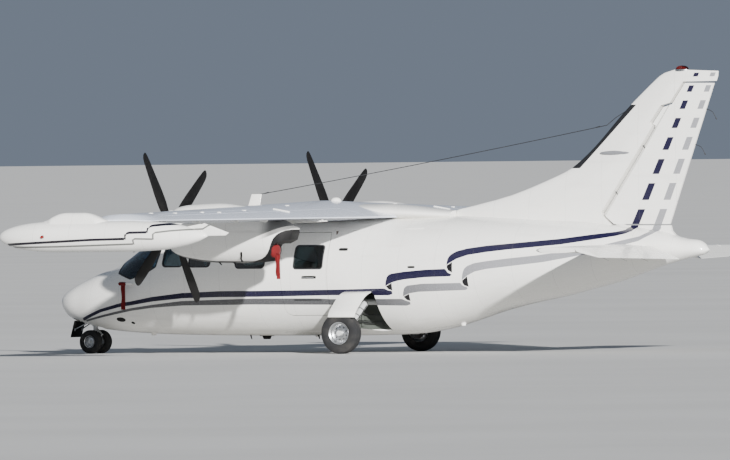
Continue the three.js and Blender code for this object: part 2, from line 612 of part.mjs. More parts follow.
// A wheel's closed profile of [radius, distance] points, from one half of it
function wheelProfile(half) {
  const mirrored = half.map(([r, d]) => [r, -d]).reverse();
  return [...half, ...mirrored, half[0]];
}

const mainHalf = mainWheel.width / 2;
const mainTyre = wheelProfile([[mainWheel.axle + seat, 30 - mainHalf], [mainWheel.rim - 20, 34 - mainHalf],
  [mainWheel.rim, 6 - mainHalf], [mainWheel.radius - 62, -mainHalf], [mainWheel.radius - 22, 22 - mainHalf],
  [mainWheel.radius, 60 - mainHalf]]);
const noseHalf = noseWheel.width / 2;
const noseTyre = wheelProfile([[noseWheel.axle + seat, 16 - noseHalf], [noseWheel.rim, 8 - noseHalf],
  [noseWheel.radius - 36, -noseHalf], [noseWheel.radius - 12, 14 - noseHalf],
  [noseWheel.radius, 36 - noseHalf]]);

for (const side of [1, -1]) {
  const label = labelOf(side);
  const y = side * tank.y;
  const humpHalf = 118;
  const body = turned(tankProfile, 'x', [0, y, tank.z], 20);
  const hump = loft([[2110, 2], [2030, 30], [1920, 80], [1830, 110], [1740, 119], [1480, 119], [1390, 106],
    [1300, 76],
    [1200, 34], [1100, 2]].map(([x, high]) => {
      const ring = [];
      for (let i = 0; i < 12; i++) {
        const angle = (i + 0.5) * 2 * Math.PI / 12;
        ring.push(new THREE.Vector3(x, y + humpHalf * Math.sin(angle),
          tank.z + 130 + (70 + high) * Math.cos(angle)));
      }
      return ring;
    }), 'x');
  const strake = sidePrism([[300, 1700], [-330, 1806], [-700, 1676], [-650, 1640], [-200, 1636]], y - 9,
    y + 9);
  const tipTank = join(body, hump, strake).subtract(wingHole);
  add(`tip_tank_${label}`, tipTank, white);

  const ny = side * nacelle.y;
  const nacelleRing = ([x, bottom, widest, top, half]) => {
    const ring = [];
    for (let i = 0; i < 20; i++) {
      const angle = (i + 0.5) * 2 * Math.PI / 20;
      const height = Math.cos(angle) > 0 ? top - widest : widest - bottom;
      ring.push(new THREE.Vector3(x, ny + half * Math.sin(angle), widest + height * Math.cos(angle)));
    }
    return ring;
  };
  const cowl = (inset) => loft(nacelleStations.map(([x, bottom, widest, top, half]) =>
    nacelleRing([x, bottom + inset, widest, top - inset, half - inset])), 'x').subtract(wingHole);
  const behind = sidePrism([...nacelleRear, [-300, 1760], [-300, 1000], [850, 1000]], ny - 500, ny + 500);
  const outletEdge = nacelleRear.map(([x, z]) => [x - seat, z - seat]);
  const outlet = sidePrism([...outletEdge, ...outletRear], ny - 500, ny + 500);
  const [[mouthX, mouthZ], [insideX, insideZ]] = [exhaust.mouth, exhaust.inside];
  const bore = bar([insideX, ny, insideZ], [2 * mouthX - insideX, ny, 2 * mouthZ - insideZ],
    exhaust.radius);
  const intake = loft(intakeStations.map(([x, z, high, wide]) => nacelleRing([x, z - high, z, z + high,
    wide])), 'x');
  const shaft = bar([nacelle.front - 40, ny, propeller.z], [propeller.shaftEnd, ny, propeller.z],
    propeller.shaft,
    propeller.shaft, 20);
  add(`nacelle_${label}`, join(cowl(0).subtract(behind).subtract(intake), shaft), white);
  add(`exhaust_${label}`, cowl(exhaust.inset).intersect(outlet).subtract(bore), black);

  // Spinner, hub and four blades
  const centre = [propeller.x, ny, propeller.z];
  const spinner = turned([[0, -62], [236, -62], [240, -20], [222, 90], [180, 200], [105, 310], [0, 380]],
    'x', centre, 20);
  const bladeSet = (grow) => {
    const blades = [];
    for (let i = 0; i < propeller.blades; i++) {
      const roll = propeller.leadAngle + 90 * i;
      const rings = bladeSections.map(([out, chord, thick, pitch]) => {
        const angle = THREE.MathUtils.degToRad(pitch);
        const outline = [];
        for (let k = 0; k < 10; k++) {
          const turn = k * Math.PI / 5;
          const along = (chord / 2 + grow) * Math.cos(turn);
          const deep = (thick / 2 + grow) * Math.sin(turn);
          outline.push(new THREE.Vector3(along * Math.sin(angle) + deep * Math.cos(angle),
            along * Math.cos(angle) - deep * Math.sin(angle), out));
        }
        return outline;
      });
      blades.push(loft(rings, 'z').rotate([-roll, 0, 0]).translate(centre));
    }
    return join(...blades);
  };
  const { hub, hubRear, hubFront } = propeller;
  const shaftHole = propeller.shaft + seat;
  const holeEnd = propeller.shaftEnd + running - propeller.x;
  const hubSpace = turned([[0, hubRear - 22], [hub + 2, hubRear - 22], [hub + 2, hubFront + 2],
    [0, hubFront + 2]],
    'x', centre, 20);
  const hubBody = turned([[0, holeEnd], [shaftHole, holeEnd], [shaftHole, hubRear], [hub, hubRear],
    [hub, hubFront],
    [0, hubFront]], 'x', centre, 20);
  add(`spinner_${label}`, spinner.subtract(bladeSet(joint)).subtract(hubSpace), white);
  add(`propeller_blades_${label}`, join(hubBody, bladeSet(0)), black);

  // Main leg, its door and the wheel
  const wheel = mainWheel;
  const my = side * wheel.y;
  const axle = bar([wheel.x, side * 990, wheel.z], [wheel.x, side * 1222, wheel.z], wheel.axle, wheel.axle,
    20);
  const strutAt = [[wheel.x, side * 420, 700], [wheel.x, side * 1005, 298]];
  const strut = bar(...strutAt, 46, 42, 16);
  const trunnion = bar([trunnionRear, side * 430, 690], [trunnionFront, side * 430, 690], 40, 40, 16);
  const knuckle = block(wheel.x - 52, wheel.x + 52, ...[side * 980, side * 1042].sort((a, b) => a - b), 230,
    335);
  const brake = bar([wheel.x, side * 1030, wheel.z], [wheel.x, side * 1054, wheel.z], 112, 112, 24);
  const knee = [wheel.x + 150, side * 878, 418];
  const links = [[wheel.x + 30, side * 771, 459], [wheel.x + 40, side * 985, 298]]
    .map((end) => bar(end, knee, 17, 14, 8));
  add(`main_leg_${label}`, join(axle, strut, trunnion, knuckle, brake, ...links), metal);
  const doorRing = (x0, x1) => {
    const outer = [[760, 842], [870, 815], [980, 765], [1085, 690], [1180, 615], [1240, 555], [1268, 500]];
    const inner = outer.map(([py, pz]) => [py - 12, pz - 18]).reverse();
    return [x0, x1].map((x) => [...outer, ...inner].map(([py, pz]) => new THREE.Vector3(x, side * py, pz)));
  };
  const legDoor = loft(doorRing(-150, 255), 'x');
  const lug = bar([wheel.x, side * 1075, 680], [wheel.x, side * 905, 378], 16, 16, 8);
  const strutHole = bar(...strutAt, 46 + joint, 42 + joint, 16);
  add(`main_leg_door_${label}`, join(legDoor, lug.subtract(strutHole)).subtract(fuselageGrown), white);

  add(`main_wheel_${label}`, turned(mainTyre, 'y', [wheel.x, my, wheel.z], 24), rubber);
}

// Nose gear: fixed upper leg, steered lower leg, twin wheels, front door
const gear = noseWheel;
const legLine = (low, high, radius) => bar([gear.x, 0, low], [gear.x, 0, high], radius);
const brace = bar([gear.x + 20, 0, 560], [noseBay.front + 10, 0, 500], 20, 20, 10)
  .intersect(block(0, noseBay.front - joint, -100, 100, 0, 1000));
const stemHole = hole([gear.x, 0, noseStem.outerBottom - 10], [gear.x, 0, noseStem.top + running],
  noseStem.radius + seat);
add('nose_leg', join(legLine(noseStem.outerBottom, noseBay.top - joint, noseStem.outerRadius), brace)
  .subtract(stemHole), metal);
const noseKnee = [gear.x - 100, 0, 262];
const noseLinks = [330, 185].map((z) => bar([gear.x - 20, 0, z], noseKnee, 12, 12, 8));
add('nose_steering_leg', join(legLine(180, noseStem.legTop, noseStem.legRadius), ...noseLinks,
  legLine(300, noseStem.top, noseStem.radius), bar([gear.x, -190, gear.z], [gear.x, 190, gear.z],
  gear.axle),
  block(gear.x - 34, gear.x + 34, -45, 45, 128, 200)), metal);
for (const side of [1, -1]) {
  add(`nose_wheel_${labelOf(side)}`, turned(noseTyre, 'y', [gear.x, side * gear.y, gear.z], 20), rubber);
}
add('nose_front_door', sidePrism([[4802, 452], [4816, 458], [4880, 225], [4866, 221]], -150, 150)
  .subtract(noseSolid), black);

// Aerials and the beacon on the fin
const roofAerial = sidePrism([[2205, 1850], [2092, 2171], [1938, 2171], [2000, 1850]], -10, 10);
add('roof_aerial', roofAerial.subtract(fuselage(3000, 1000, -joint)), white);
const bellyAerial = sidePrism([[1960, 260], [1930, 185], [1830, 185], [1800, 260]], -9, 9);
add('belly_aerial', bellyAerial.subtract(fuselage(3000, 1000, -joint)), black);
add('beacon', bar([-4560, 0, 3820], [-4560, 0, 3925], 60, 34, 16).subtract(block(-5000, -4000, -90, 90,
  3000, 3840))
  .subtract(fin.translate([0, 0, joint])), red);

export default aircraft;
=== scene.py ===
# A light twin turboprop aircraft: skins, glass, gear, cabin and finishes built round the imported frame.
# Metres, +X to the nose, +Y to port, +Z up, origin on the ground under the middle of the aircraft.
import math

import bmesh
import bpy
from mathutils import Matrix, Quaternion, Vector


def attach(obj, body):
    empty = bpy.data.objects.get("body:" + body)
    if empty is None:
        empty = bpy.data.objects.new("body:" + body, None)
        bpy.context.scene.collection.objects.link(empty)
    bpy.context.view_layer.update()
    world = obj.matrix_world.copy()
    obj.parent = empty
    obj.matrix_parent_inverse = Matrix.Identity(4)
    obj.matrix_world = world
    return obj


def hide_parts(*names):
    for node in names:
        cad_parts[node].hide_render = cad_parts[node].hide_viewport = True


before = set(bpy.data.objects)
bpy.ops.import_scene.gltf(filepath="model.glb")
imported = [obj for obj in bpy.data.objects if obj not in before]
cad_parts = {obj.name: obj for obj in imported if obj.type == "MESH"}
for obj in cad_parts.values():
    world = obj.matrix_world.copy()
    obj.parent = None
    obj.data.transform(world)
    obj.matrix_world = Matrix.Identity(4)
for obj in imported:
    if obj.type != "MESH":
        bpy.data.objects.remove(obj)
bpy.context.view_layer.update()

# Driving dimensions: the skin's wall, where the fuselage's sections end, the gap between skins that meet
WALL = 0.045
NOSE_END = 4.15
CABIN_END = 0.42
BAY_END = -1.3
SEAM = 0.0003
SIDES = ((1, "left"), (-1, "right"))
WING = {
    "half": 5.64, "end": 5.745, "lead": (1.62, 1.36), "trail": (-0.36, 0.4), "z": (1.895, 1.852),
    "drop": (0.05, 0.006), "thick": (0.15, 0.125), "camber": (0.026, 0.022)}
FLAP = {"share": 0.74, "inner": 0.9, "outer": 5.47, "gap": 0.005}
SPOILER = {"front": 0.6, "back": 0.725, "inner": 2.9, "outer": 5.05, "thick": 0.012, "gap": 0.006}
TANK = {"y": 5.758, "z": 1.64, "radius": 0.206, "nose": 2.79, "round": 0.9, "taper": 0.76, "tail": -0.39}
PROP = {"x": 2.08, "y": 2.31, "z": 1.73, "radius": 1.245, "lead_angle": 36.5, "blades": 4}
MAIN = {"x": 0.11, "y": 1.15, "z": 0.28, "radius": 0.28, "half": 0.09, "rim": 0.148}
NOSE = {"x": 4.56, "y": 0.135, "z": 0.162, "radius": 0.162, "half": 0.056, "rim": 0.08}
DOOR = {"x": 1.225, "y": 0.832, "radius": 0.715, "bottom": 0.52, "top": 1.64, "round": 0.09, "gap": 0.006}
STABILISER = {"lead": -3.34, "sweep": 0.16, "rear": -4.1, "half": 2.4, "tip": 2.34}
ELEVATOR = {"x": -4.16, "z": 1.39, "droop": 18, "inner": 0.312, "tip": 2.395}
HINGE = {
    "pin": 0.006, "eye": 0.02, "width": 0.014, "slot": 0.06, "slot_width": 0.026, "reach": 0.11,
    "hold": 0.008}
RUDDER_HINGE = {"low": (-3.345, 1.895), "axis": (-0.5623, 0.827), "set_back": 0.045, "along": (0.3, 1.05)}

# Fuselage: x, bottom, widest, top, half width
STATIONS = (
    (5.065, 0.684, 0.712, 0.741, 0.03), (5.025, 0.605, 0.708, 0.802, 0.112),
    (4.955, 0.522, 0.702, 0.858, 0.188), (4.8, 0.44, 0.7, 0.942, 0.3), (4.6, 0.378, 0.705, 1.032, 0.398),
    (4.4, 0.34, 0.715, 1.108, 0.49), (4.15, 0.308, 0.735, 1.178, 0.583), (3.95, 0.292, 0.762, 1.288, 0.642),
    (3.75, 0.278, 0.8, 1.425, 0.69), (3.55, 0.268, 0.848, 1.562, 0.728), (3.35, 0.26, 0.902, 1.682, 0.76),
    (3.15, 0.254, 0.958, 1.778, 0.786), (2.95, 0.25, 1.005, 1.828, 0.803), (2.65, 0.244, 1.045, 1.855, 0.812),
    (1.9, 0.236, 1.05, 1.862, 0.815), (0.42, 0.234, 1.05, 1.862, 0.815), (-0.06, 0.24, 1.052, 1.862, 0.815),
    (-0.47, 0.254, 1.058, 1.86, 0.812), (-0.93, 0.316, 1.085, 1.855, 0.796),
    (-1.3, 0.41, 1.128, 1.846, 0.762), (-1.84, 0.568, 1.195, 1.822, 0.692), (-2.29, 0.669, 1.23, 1.8, 0.618),
    (-2.67, 0.74, 1.258, 1.782, 0.55), (-3.1, 0.838, 1.3, 1.757, 0.47), (-3.52, 0.936, 1.34, 1.708, 0.395),
    (-4.0, 1.088, 1.396, 1.66, 0.3), (-4.3, 1.18, 1.415, 1.6, 0.24), (-4.54, 1.24, 1.39, 1.524, 0.176),
    (-4.76, 1.288, 1.372, 1.496, 0.128), (-4.85, 1.315, 1.366, 1.44, 0.09),
    (-4.882, 1.338, 1.366, 1.402, 0.052), (-4.895, 1.356, 1.366, 1.378, 0.02))

# Nacelle, slimmer behind than the frame's: x, bottom, widest, top, half width
COWL = (
    (2.01, 1.396, 1.7, 1.968, 0.238), (1.99, 1.376, 1.698, 1.99, 0.258), (1.9, 1.336, 1.692, 2.018, 0.285),
    (1.78, 1.304, 1.685, 2.036, 0.3), (1.55, 1.268, 1.675, 2.05, 0.314), (1.335, 1.252, 1.665, 2.055, 0.318),
    (0.93, 1.246, 1.655, 2.01, 0.314), (0.67, 1.248, 1.65, 1.94, 0.302), (0.48, 1.266, 1.64, 1.88, 0.282),
    (0.31, 1.32, 1.64, 1.808, 0.248), (0.235, 1.43, 1.66, 1.766, 0.2), (0.165, 1.56, 1.69, 1.73, 0.12))
# Rear edges in side view, from below: the white cowl's, then the sooty outlet's behind it (x, z)
COWL_REAR = (
    (0.85, 1.262), (0.735, 1.276), (0.619, 1.301), (0.545, 1.338), (0.495, 1.381), (0.458, 1.428),
    (0.433, 1.475), (0.404, 1.532), (0.372, 1.583), (0.325, 1.628), (0.278, 1.66), (0.222, 1.684),
    (0.155, 1.697))
OUTLET_REAR = (
    (0.19, 1.556), (0.255, 1.55), (0.305, 1.532), (0.362, 1.51), (0.408, 1.494), (0.437, 1.45), (0.44, 1.375),
    (0.445, 1.3), (0.52, 1.255), (0.85, 1.225))
EXHAUST = {
    "inside": (0.76, 2.31, 1.47), "mouth": (0.4, 2.4, 1.4), "radius": 0.104, "inset": 0.008,
    "hollow": ((0.66, 1.8), (0.6, 1.98), (0.455, 2.235), (0.27, 2.235), (0.27, 1.8)), "hollow_top": 1.505}
# Intake below the spinner: x, middle height, half height, half width
INTAKE = ((2.07, 1.446, 0.036, 0.118), (1.95, 1.446, 0.034, 0.112), (1.75, 1.47, 0.02, 0.08))
FLAP_TRACK = {
    "y": 1.93, "half": 0.026,
    "side": ((0.515, 1.86), (0.488, 1.773), (0.099, 1.784), (-0.105, 1.796), (-0.105, 1.812), (0.09, 1.806),
             (0.282, 1.838), (0.33, 1.86))}

# Side windows: name, front x, rear x, bottom, top, corner radius, sides
WINDOWS = (
    ("cockpit_window", 3.08, 2.76, 1.195, 1.53, 0.05, (1, -1)),
    ("front_window", 2.65, 2.33, 1.19, 1.48, 0.05, (1, -1)),
    ("middle_window", 1.925, 1.485, 1.17, 1.475, 0.05, (1, -1)),
    ("rear_window", 1.035, 0.56, 1.145, 1.472, 0.06, (-1,)))
DOOR_WINDOW = (1.022, 0.588, 1.155, 1.462, 0.035)
SCREEN = (
    (3.9, 1.34), (3.897, 1.104), (3.62, 1.025), (3.33, 1.122), (3.2, 1.19), (3.16, 1.4), (3.175, 1.6),
    (3.225, 1.752))
# Wheel well in side view, and the nose wheel's bay: front, rear, top, half width
WELL = (
    (0.38, 0.345), (0.38, 0.56), (0.25, 0.8), (-0.15, 0.85), (-0.2, 0.79), (-0.222, 0.56), (-0.24, 0.31),
    (-0.21, 0.285))
NOSE_BAY = {"front": 4.8, "rear": 4.35, "top": 0.64, "half": 0.19}
# Fairing behind the wing: x, bottom, top, half width
FAIRING = (
    (0.3, 1.83, 2.02, 0.43), (-0.06, 1.82, 2.022, 0.42), (-0.36, 1.8, 2.0, 0.38), (-0.7, 1.8, 1.962, 0.3),
    (-1.058, 1.8, 1.922, 0.2))


class Curve:
    """Smooth curves through the rows of a table that runs down in its first column."""

    def __init__(self, rows):
        self.rows = rows
        self.slopes = []
        steps = [[(b[k] - a[k]) / (b[0] - a[0]) for k in range(len(a))] for a, b in zip(rows, rows[1:])]
        for before, after in zip([steps[0], *steps], [*steps, steps[-1]]):
            self.slopes.append([2 * s * t / (s + t) if s * t > 0 else 0.0 for s, t in zip(before, after)])

    def __call__(self, x):
        x = min(max(x, self.rows[-1][0]), self.rows[0][0])
        i = 0
        while i + 2 < len(self.rows) and self.rows[i + 1][0] > x:
            i += 1
        a, b = self.rows[i], self.rows[i + 1]
        span = b[0] - a[0]
        t = (x - a[0]) / span
        return [(2 * t ** 3 - 3 * t ** 2 + 1) * p + (t ** 3 - 2 * t ** 2 + t) * span * s
                + (3 * t ** 2 - 2 * t ** 3) * q + (t ** 3 - t ** 2) * span * r
                for p, q, s, r in zip(a, b, self.slopes[i], self.slopes[i + 1])]


hull = Curve(STATIONS)
cowl = Curve(COWL)


def between(pair, share):
    """A share of the way from the first of a pair to the second."""
    return pair[0] + (pair[1] - pair[0]) * share


def spread(start, end, count):
    """So many even steps from start to end."""
    return [start + (end - start) * k / (count - 1) for k in range(count)]


def signed(value, power):
    """A power of a value's size, with the value's sign."""
    return math.copysign(abs(value) ** power, value)


def flank(turn):
    """1 on the side of a section where the angle's sine is above 0, -1 on the other, 0 at its two ends."""
    return math.copysign(1, math.sin(turn)) if abs(math.sin(turn)) > 1e-9 else 0


def smooth(points, per=6):
    """Points along a smooth line through the ones given."""
    points = [Vector(p) for p in points]
    last = len(points) - 1
    line = []
    for k in range(last):
        ends = [points[min(max(k + j, 0), last)] for j in (-1, 0, 1, 2)]
        for step in range(per):
            t = step / per
            line.append(0.5 * (2 * ends[1] + (ends[2] - ends[0]) * t
                               + (2 * ends[0] - 5 * ends[1] + 4 * ends[2] - ends[3]) * t ** 2
                               + (3 * ends[1] - ends[0] - 3 * ends[2] + ends[3]) * t ** 3))
    return [*line, points[-1]]


# Mesh tools
AXES = {"x": Vector((1, 0, 0)), "y": Vector((0, 1, 0)), "z": Vector((0, 0, 1))}


def edges_of(verts):
    """The edges that end at some corners, each of them once."""
    return list(dict.fromkeys(edge for vert in verts for edge in vert.link_edges))


def faced(bm):
    """Turns the faces of a bmesh outward and returns it."""
    bmesh.ops.recalc_face_normals(bm, faces=bm.faces)
    return bm


def loft(places, sections, sides=96, caps=True):
    """A skin through sections: a ring of places(section, angle) for each, bridged to the one before."""
    bm = bmesh.new()
    before = None
    for section in sections:
        ends = caps and section in (sections[0], sections[-1])
        ring = bmesh.ops.create_circle(bm, cap_ends=ends, segments=sides, radius=1)["verts"]
        for k, vert in enumerate(ring):
            vert.co = places(section, k * math.tau / sides)
        edges = edges_of(ring)
        if before:
            bmesh.ops.bridge_loops(bm, edges=before + edges)
        before = edges
    bmesh.ops.remove_doubles(bm, verts=bm.verts, dist=1e-5)
    return faced(bm)


def turned(profile, axis, centre, steps=64, arc=math.tau):
    """A profile of (radius, distance) points spun about an axis through a centre."""
    bm = bmesh.new()
    out = AXES["x" if axis == "z" else "z"]
    along = AXES[axis]
    verts = [bm.verts.new(Vector(centre) + out * r + along * d) for r, d in profile]
    edges = [bm.edges.new(pair) for pair in zip(verts, verts[1:])]
    bmesh.ops.spin(bm, geom=verts + edges, cent=centre, axis=along, angle=arc, steps=steps,
                   use_merge=arc == math.tau)
    bmesh.ops.remove_doubles(bm, verts=bm.verts, dist=1e-5)
    return faced(bm)


def rounded(bm, edges, offset, segments):
    """Rounds edges of a bmesh."""
    bmesh.ops.bevel(bm, geom=edges, offset=offset, affect="EDGES", segments=segments, profile=0.5,
                    material=-1)


def share_along(edge, axis):
    """How far an edge runs along an axis: 1 wholly, 0 not at all."""
    return abs((edge.verts[0].co - edge.verts[1].co).normalized().dot(AXES[axis]))


def prism(outline, axis, low, high, rounding=0.0):
    """A flat outline carried along an axis, its long edges rounded."""
    bm = bmesh.new()
    spot = {"x": lambda a, b: (low, a, b), "y": lambda a, b: (a, low, b), "z": lambda a, b: (a, b, low)}[axis]
    face = bm.faces.new([bm.verts.new(spot(a, b)) for a, b in outline])
    made = bmesh.ops.extrude_face_region(bm, geom=[face])["geom"]
    bmesh.ops.translate(bm, verts=[g for g in made if isinstance(g, bmesh.types.BMVert)],
                        vec=AXES[axis] * (high - low))
    if rounding:
        rounded(bm, [e for e in bm.edges if share_along(e, axis) > 0.99], rounding, 8)
    return faced(bm)


def block(start, end, bottom, top, half):
    """A block across the middle, between two x, from its bottom to its top, and half its width."""
    return prism([(start, bottom), (end, bottom), (end, top), (start, top)], "y", -half, half)


def poured(bm, target):
    """Puts one bmesh into another and returns that one."""
    mesh = bpy.data.meshes.new("poured")
    bm.to_mesh(mesh)
    bm.free()
    target.from_mesh(mesh)
    bpy.data.meshes.remove(mesh)
    return target


def rod(bm, start, end, radius, sides=24, tip=None):
    """A round bar between two points, added to a bmesh."""
    start, end = Vector(start), Vector(end)
    span = end - start
    place = Matrix.Translation((start + end) / 2) @ span.to_track_quat("Z", "Y").to_matrix().to_4x4()
    bmesh.ops.create_cone(bm, cap_ends=True, segments=sides, radius1=radius,
                          radius2=radius if tip is None else tip, depth=span.length, matrix=place)
    return bm


def plate(bm, low, high, rounding=0.0, segments=2):
    """A box from its lowest to its highest corner, its edges rounded, added to a bmesh."""
    low, high = Vector(low), Vector(high)
    size = high - low
    place = Matrix.Translation((low + high) / 2) @ Matrix.Diagonal((*size, 1))
    made = bmesh.ops.create_cube(bm, size=1, matrix=place)["verts"]
    if rounding:
        rounded(bm, edges_of(made), rounding, segments)
    return bm


def hose(bm, points, radius, sides=12, closed=False, bend=0):
    """A round tube along points, or along a smooth line through them, added to a bmesh."""
    points = [Vector(p) for p in (smooth(points, bend) if bend else points)]
    count = len(points)
    facing = None
    first = before = None
    for k, point in enumerate(points):
        ahead = points[(k + 1) % count] if closed or k + 1 < count else point
        behind = points[k - 1] if closed or k else point
        way = (ahead - behind).normalized()
        if facing is None:
            facing = way.to_track_quat("Z", "Y")
        else:
            facing = (facing @ Vector((0, 0, 1))).rotation_difference(way) @ facing
        ends = not closed and k in (0, count - 1)
        ring = bmesh.ops.create_circle(
            bm, cap_ends=ends, segments=sides, radius=radius,
            matrix=Matrix.Translation(point) @ facing.to_matrix().to_4x4())["verts"]
        edges = edges_of(ring)
        if before:
            bmesh.ops.bridge_loops(bm, edges=before + edges)
        first = first or edges
        before = edges
    if closed:
        bmesh.ops.bridge_loops(bm, edges=before + first)
    return faced(bm)


def as_object(name, bm):
    mesh = bpy.data.meshes.new(name)
    bm.to_mesh(mesh)
    bm.free()
    piece = bpy.data.objects.new(name, mesh)
    bpy.context.scene.collection.objects.link(piece)
    return piece


def settled(piece):
    """Makes a piece's modifiers part of its mesh."""
    graph = bpy.context.evaluated_depsgraph_get()
    mesh = bpy.data.meshes.new_from_object(piece.evaluated_get(graph))
    piece.modifiers.clear()
    piece.data = mesh
    return piece


def less(form):
    """A cut that takes a form out of a piece."""
    return "DIFFERENCE", form


def within(form):
    """A cut that keeps what is inside a form."""
    return "INTERSECT", form


def carved(piece, *cuts):
    """Cuts a piece by others: each cut is an operation and a bmesh."""
    for operation, bm in cuts:
        tool = as_object("cutting_form", bm)
        carving = piece.modifiers.new("carving", "BOOLEAN")
        carving.operation = operation
        carving.solver = "EXACT"
        carving.object = tool
        settled(piece)
        bpy.data.objects.remove(tool)
    return piece


def combined(first, *cuts):
    """A form cut by others, given back as a bmesh."""
    piece = carved(as_object("combined", first), *cuts)
    bm = bmesh.new()
    bm.from_mesh(piece.data)
    bpy.data.objects.remove(piece)
    return bm


def finished(piece, finish, body="airframe", slot=None, replaces=(), crease=32):
    """Gives a piece its finish, soft shading and body, and hides the nodes that it stands for; slot is not
    used.
    """
    bm = bmesh.new()
    bm.from_mesh(piece.data)
    bmesh.ops.remove_doubles(bm, verts=bm.verts, dist=1e-6)
    bmesh.ops.dissolve_degenerate(bm, edges=bm.edges, dist=1e-6)
    bm.to_mesh(piece.data)
    bm.free()
    piece.data.materials.clear()
    piece.data.materials.append(finish)
    piece.data.polygons.foreach_set("use_smooth", [True] * len(piece.data.polygons))
    piece.data.set_sharp_from_angle(angle=math.radians(crease))
    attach(piece, body)
    if replaces:
        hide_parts(*([replaces] if isinstance(replaces, str) else replaces))
    if slot or replaces:
        slot or "white_paint"
    return piece


def add(name, form, finish, body="airframe", slot=None, replaces=(), crease=32):
    """Makes a finished piece from a bmesh."""
    return finished(as_object(name, form), finish, body, slot, replaces, crease)


# Shader tools
class Wire:
    """A socket of a material, so that shader maths reads as plain expressions."""

    def __init__(self, finish, socket):
        self.finish = finish
        self.socket = socket

    def _maths(self, operation, *values, **settings):
        return self.finish.node("ShaderNodeMath", {"operation": operation, **settings},
                                dict(enumerate(values)))

    def __add__(self, other): return self._maths("ADD", self, other)
    def __radd__(self, other): return self._maths("ADD", other, self)
    def __sub__(self, other): return self._maths("SUBTRACT", self, other)
    def __rsub__(self, other): return self._maths("SUBTRACT", other, self)
    def __mul__(self, other): return self._maths("MULTIPLY", self, other)
    def __rmul__(self, other): return self._maths("MULTIPLY", other, self)
    def __truediv__(self, other): return self._maths("DIVIDE", self, other)
    def __abs__(self): return self._maths("ABSOLUTE", self)

    def at_least(self, other): return self._maths("MAXIMUM", self, other)
    def at_most(self, other): return self._maths("MINIMUM", self, other)
    def waves(self): return self._maths("SINE", self)
    def repeat(self, step): return self._maths("WRAP", self, step, 0.0)

    def rise(self, low, high):
        """0 below low, 1 above high and smooth between them; low may be above high."""
        return self.finish.node("ShaderNodeMapRange", {"interpolation_type": "SMOOTHSTEP", "clamp": True},
                                {0: self, 1: low, 2: high, 3: 0.0, 4: 1.0})

    def inside(self, low, high, soft=0.0008):
        return self.rise(low - soft, low + soft) * self.rise(high + soft, high - soft)


class Finish:
    """A procedural material with one Principled shader, read on Object coordinates."""

    def __init__(self, name, **values):
        self.material = bpy.data.materials.new(name)
        self.material.use_nodes = True
        self.tree = self.material.node_tree
        self.tree.nodes.clear()
        self.shader = self.tree.nodes.new("ShaderNodeBsdfPrincipled")
        surface = self.tree.nodes.new("ShaderNodeOutputMaterial")
        self.tree.links.new(self.shader.outputs[0], surface.inputs[0])
        self.spot = self.node("ShaderNodeTexCoord", output="Object")
        self.x, self.y, self.z = (self.node("ShaderNodeSeparateXYZ", None, {0: self.spot}, output=k)
                                  for k in range(3))
        self.set(**values)

    def node(self, kind, settings=None, values=None, output=0):
        """Adds a node: its settings first, then the values or links of its sockets."""
        made = self.tree.nodes.new(kind)
        for key, setting in (settings or {}).items():
            if key == "points":
                line = made.mapping.curves[0]
                made.mapping.extend = "HORIZONTAL"
                for place in setting[1:-1]:
                    line.points.new(*place)
                line.points[0].location = setting[0]
                line.points[len(setting) - 1].location = setting[-1]
                for point in line.points:
                    point.handle_type = "VECTOR"
                made.mapping.update()
            else:
                setattr(made, key, setting)
        for key, value in (values or {}).items():
            if isinstance(value, Wire):
                self.tree.links.new(value.socket, made.inputs[key])
            else:
                made.inputs[key].default_value = value
        return Wire(self, made.outputs[output])

    def set(self, **values):
        """Sets or links the shader's own sockets: base_color=... for Base Color, and so on."""
        names = {name.lower().replace(" ", "_"): name for name in self.shader.inputs.keys()}
        for key, value in values.items():
            socket = self.shader.inputs[names[key]]
            if isinstance(value, Wire):
                self.tree.links.new(value.socket, socket)
            elif isinstance(value, tuple) and len(value) == 3:
                socket.default_value = (*value, 1)
            else:
                socket.default_value = value

    def noise(self, scale, detail=4.0, stretch=(1, 1, 1), rough=0.55):
        place = self.node("ShaderNodeMapping", None, {"Vector": self.spot, "Scale": stretch})
        return self.node("ShaderNodeTexNoise", None,
                         {"Vector": place, "Scale": scale, "Detail": detail, "Roughness": rough})

    def mix(self, share, low, high):
        low, high = ((*c, 1) if isinstance(c, tuple) else c for c in (low, high))
        return self.node("ShaderNodeMix", {"data_type": "RGBA"}, {0: share, 6: low, 7: high}, output=2)

    def done(self, colour, rough, height=None, distance=0.0005, strength=0.5):
        """Sets the colour, the roughness and the relief, and gives the material."""
        self.set(base_color=colour, roughness=rough)
        if height is not None:
            self.set(normal=self.node("ShaderNodeBump", None,
                                      {"Height": height, "Distance": distance, "Strength": strength}))
        return self.material

    def edge(self, across, points, low, high):
        """A height that follows points of (distance, height) along a direction, read between low and high."""
        start, end = points[0][0], points[-1][0]
        scaled = [((p - start) / (end - start), (h - low) / (high - low)) for p, h in points]
        share = (across - start) / (end - start)
        return self.node("ShaderNodeFloatCurve", {"points": scaled},
                         {"Factor": 1.0, "Value": share}) * (high - low) + low


def srgb(red, green, blue):
    """A colour read off a screen, 0 to 255, as the shader takes it."""
    return tuple((c / 255 / 12.92 if c < 10.3 else ((c / 255 + 0.055) / 1.055) ** 2.4)
                 for c in (red, green, blue))


WHITE = srgb(238, 236, 230)
NAVY = srgb(18, 14, 44)
STRIPE_DARK = srgb(80, 80, 82)
STRIPE_LIGHT = srgb(136, 136, 139)
FOLD_BLACK = srgb(14, 13, 16)
GRIME = srgb(96, 86, 70)
# Near-black of the rubber boots, also used for the painted shade on the nacelles
BOOT_AND_SHADE_BLACK = srgb(20, 20, 22)

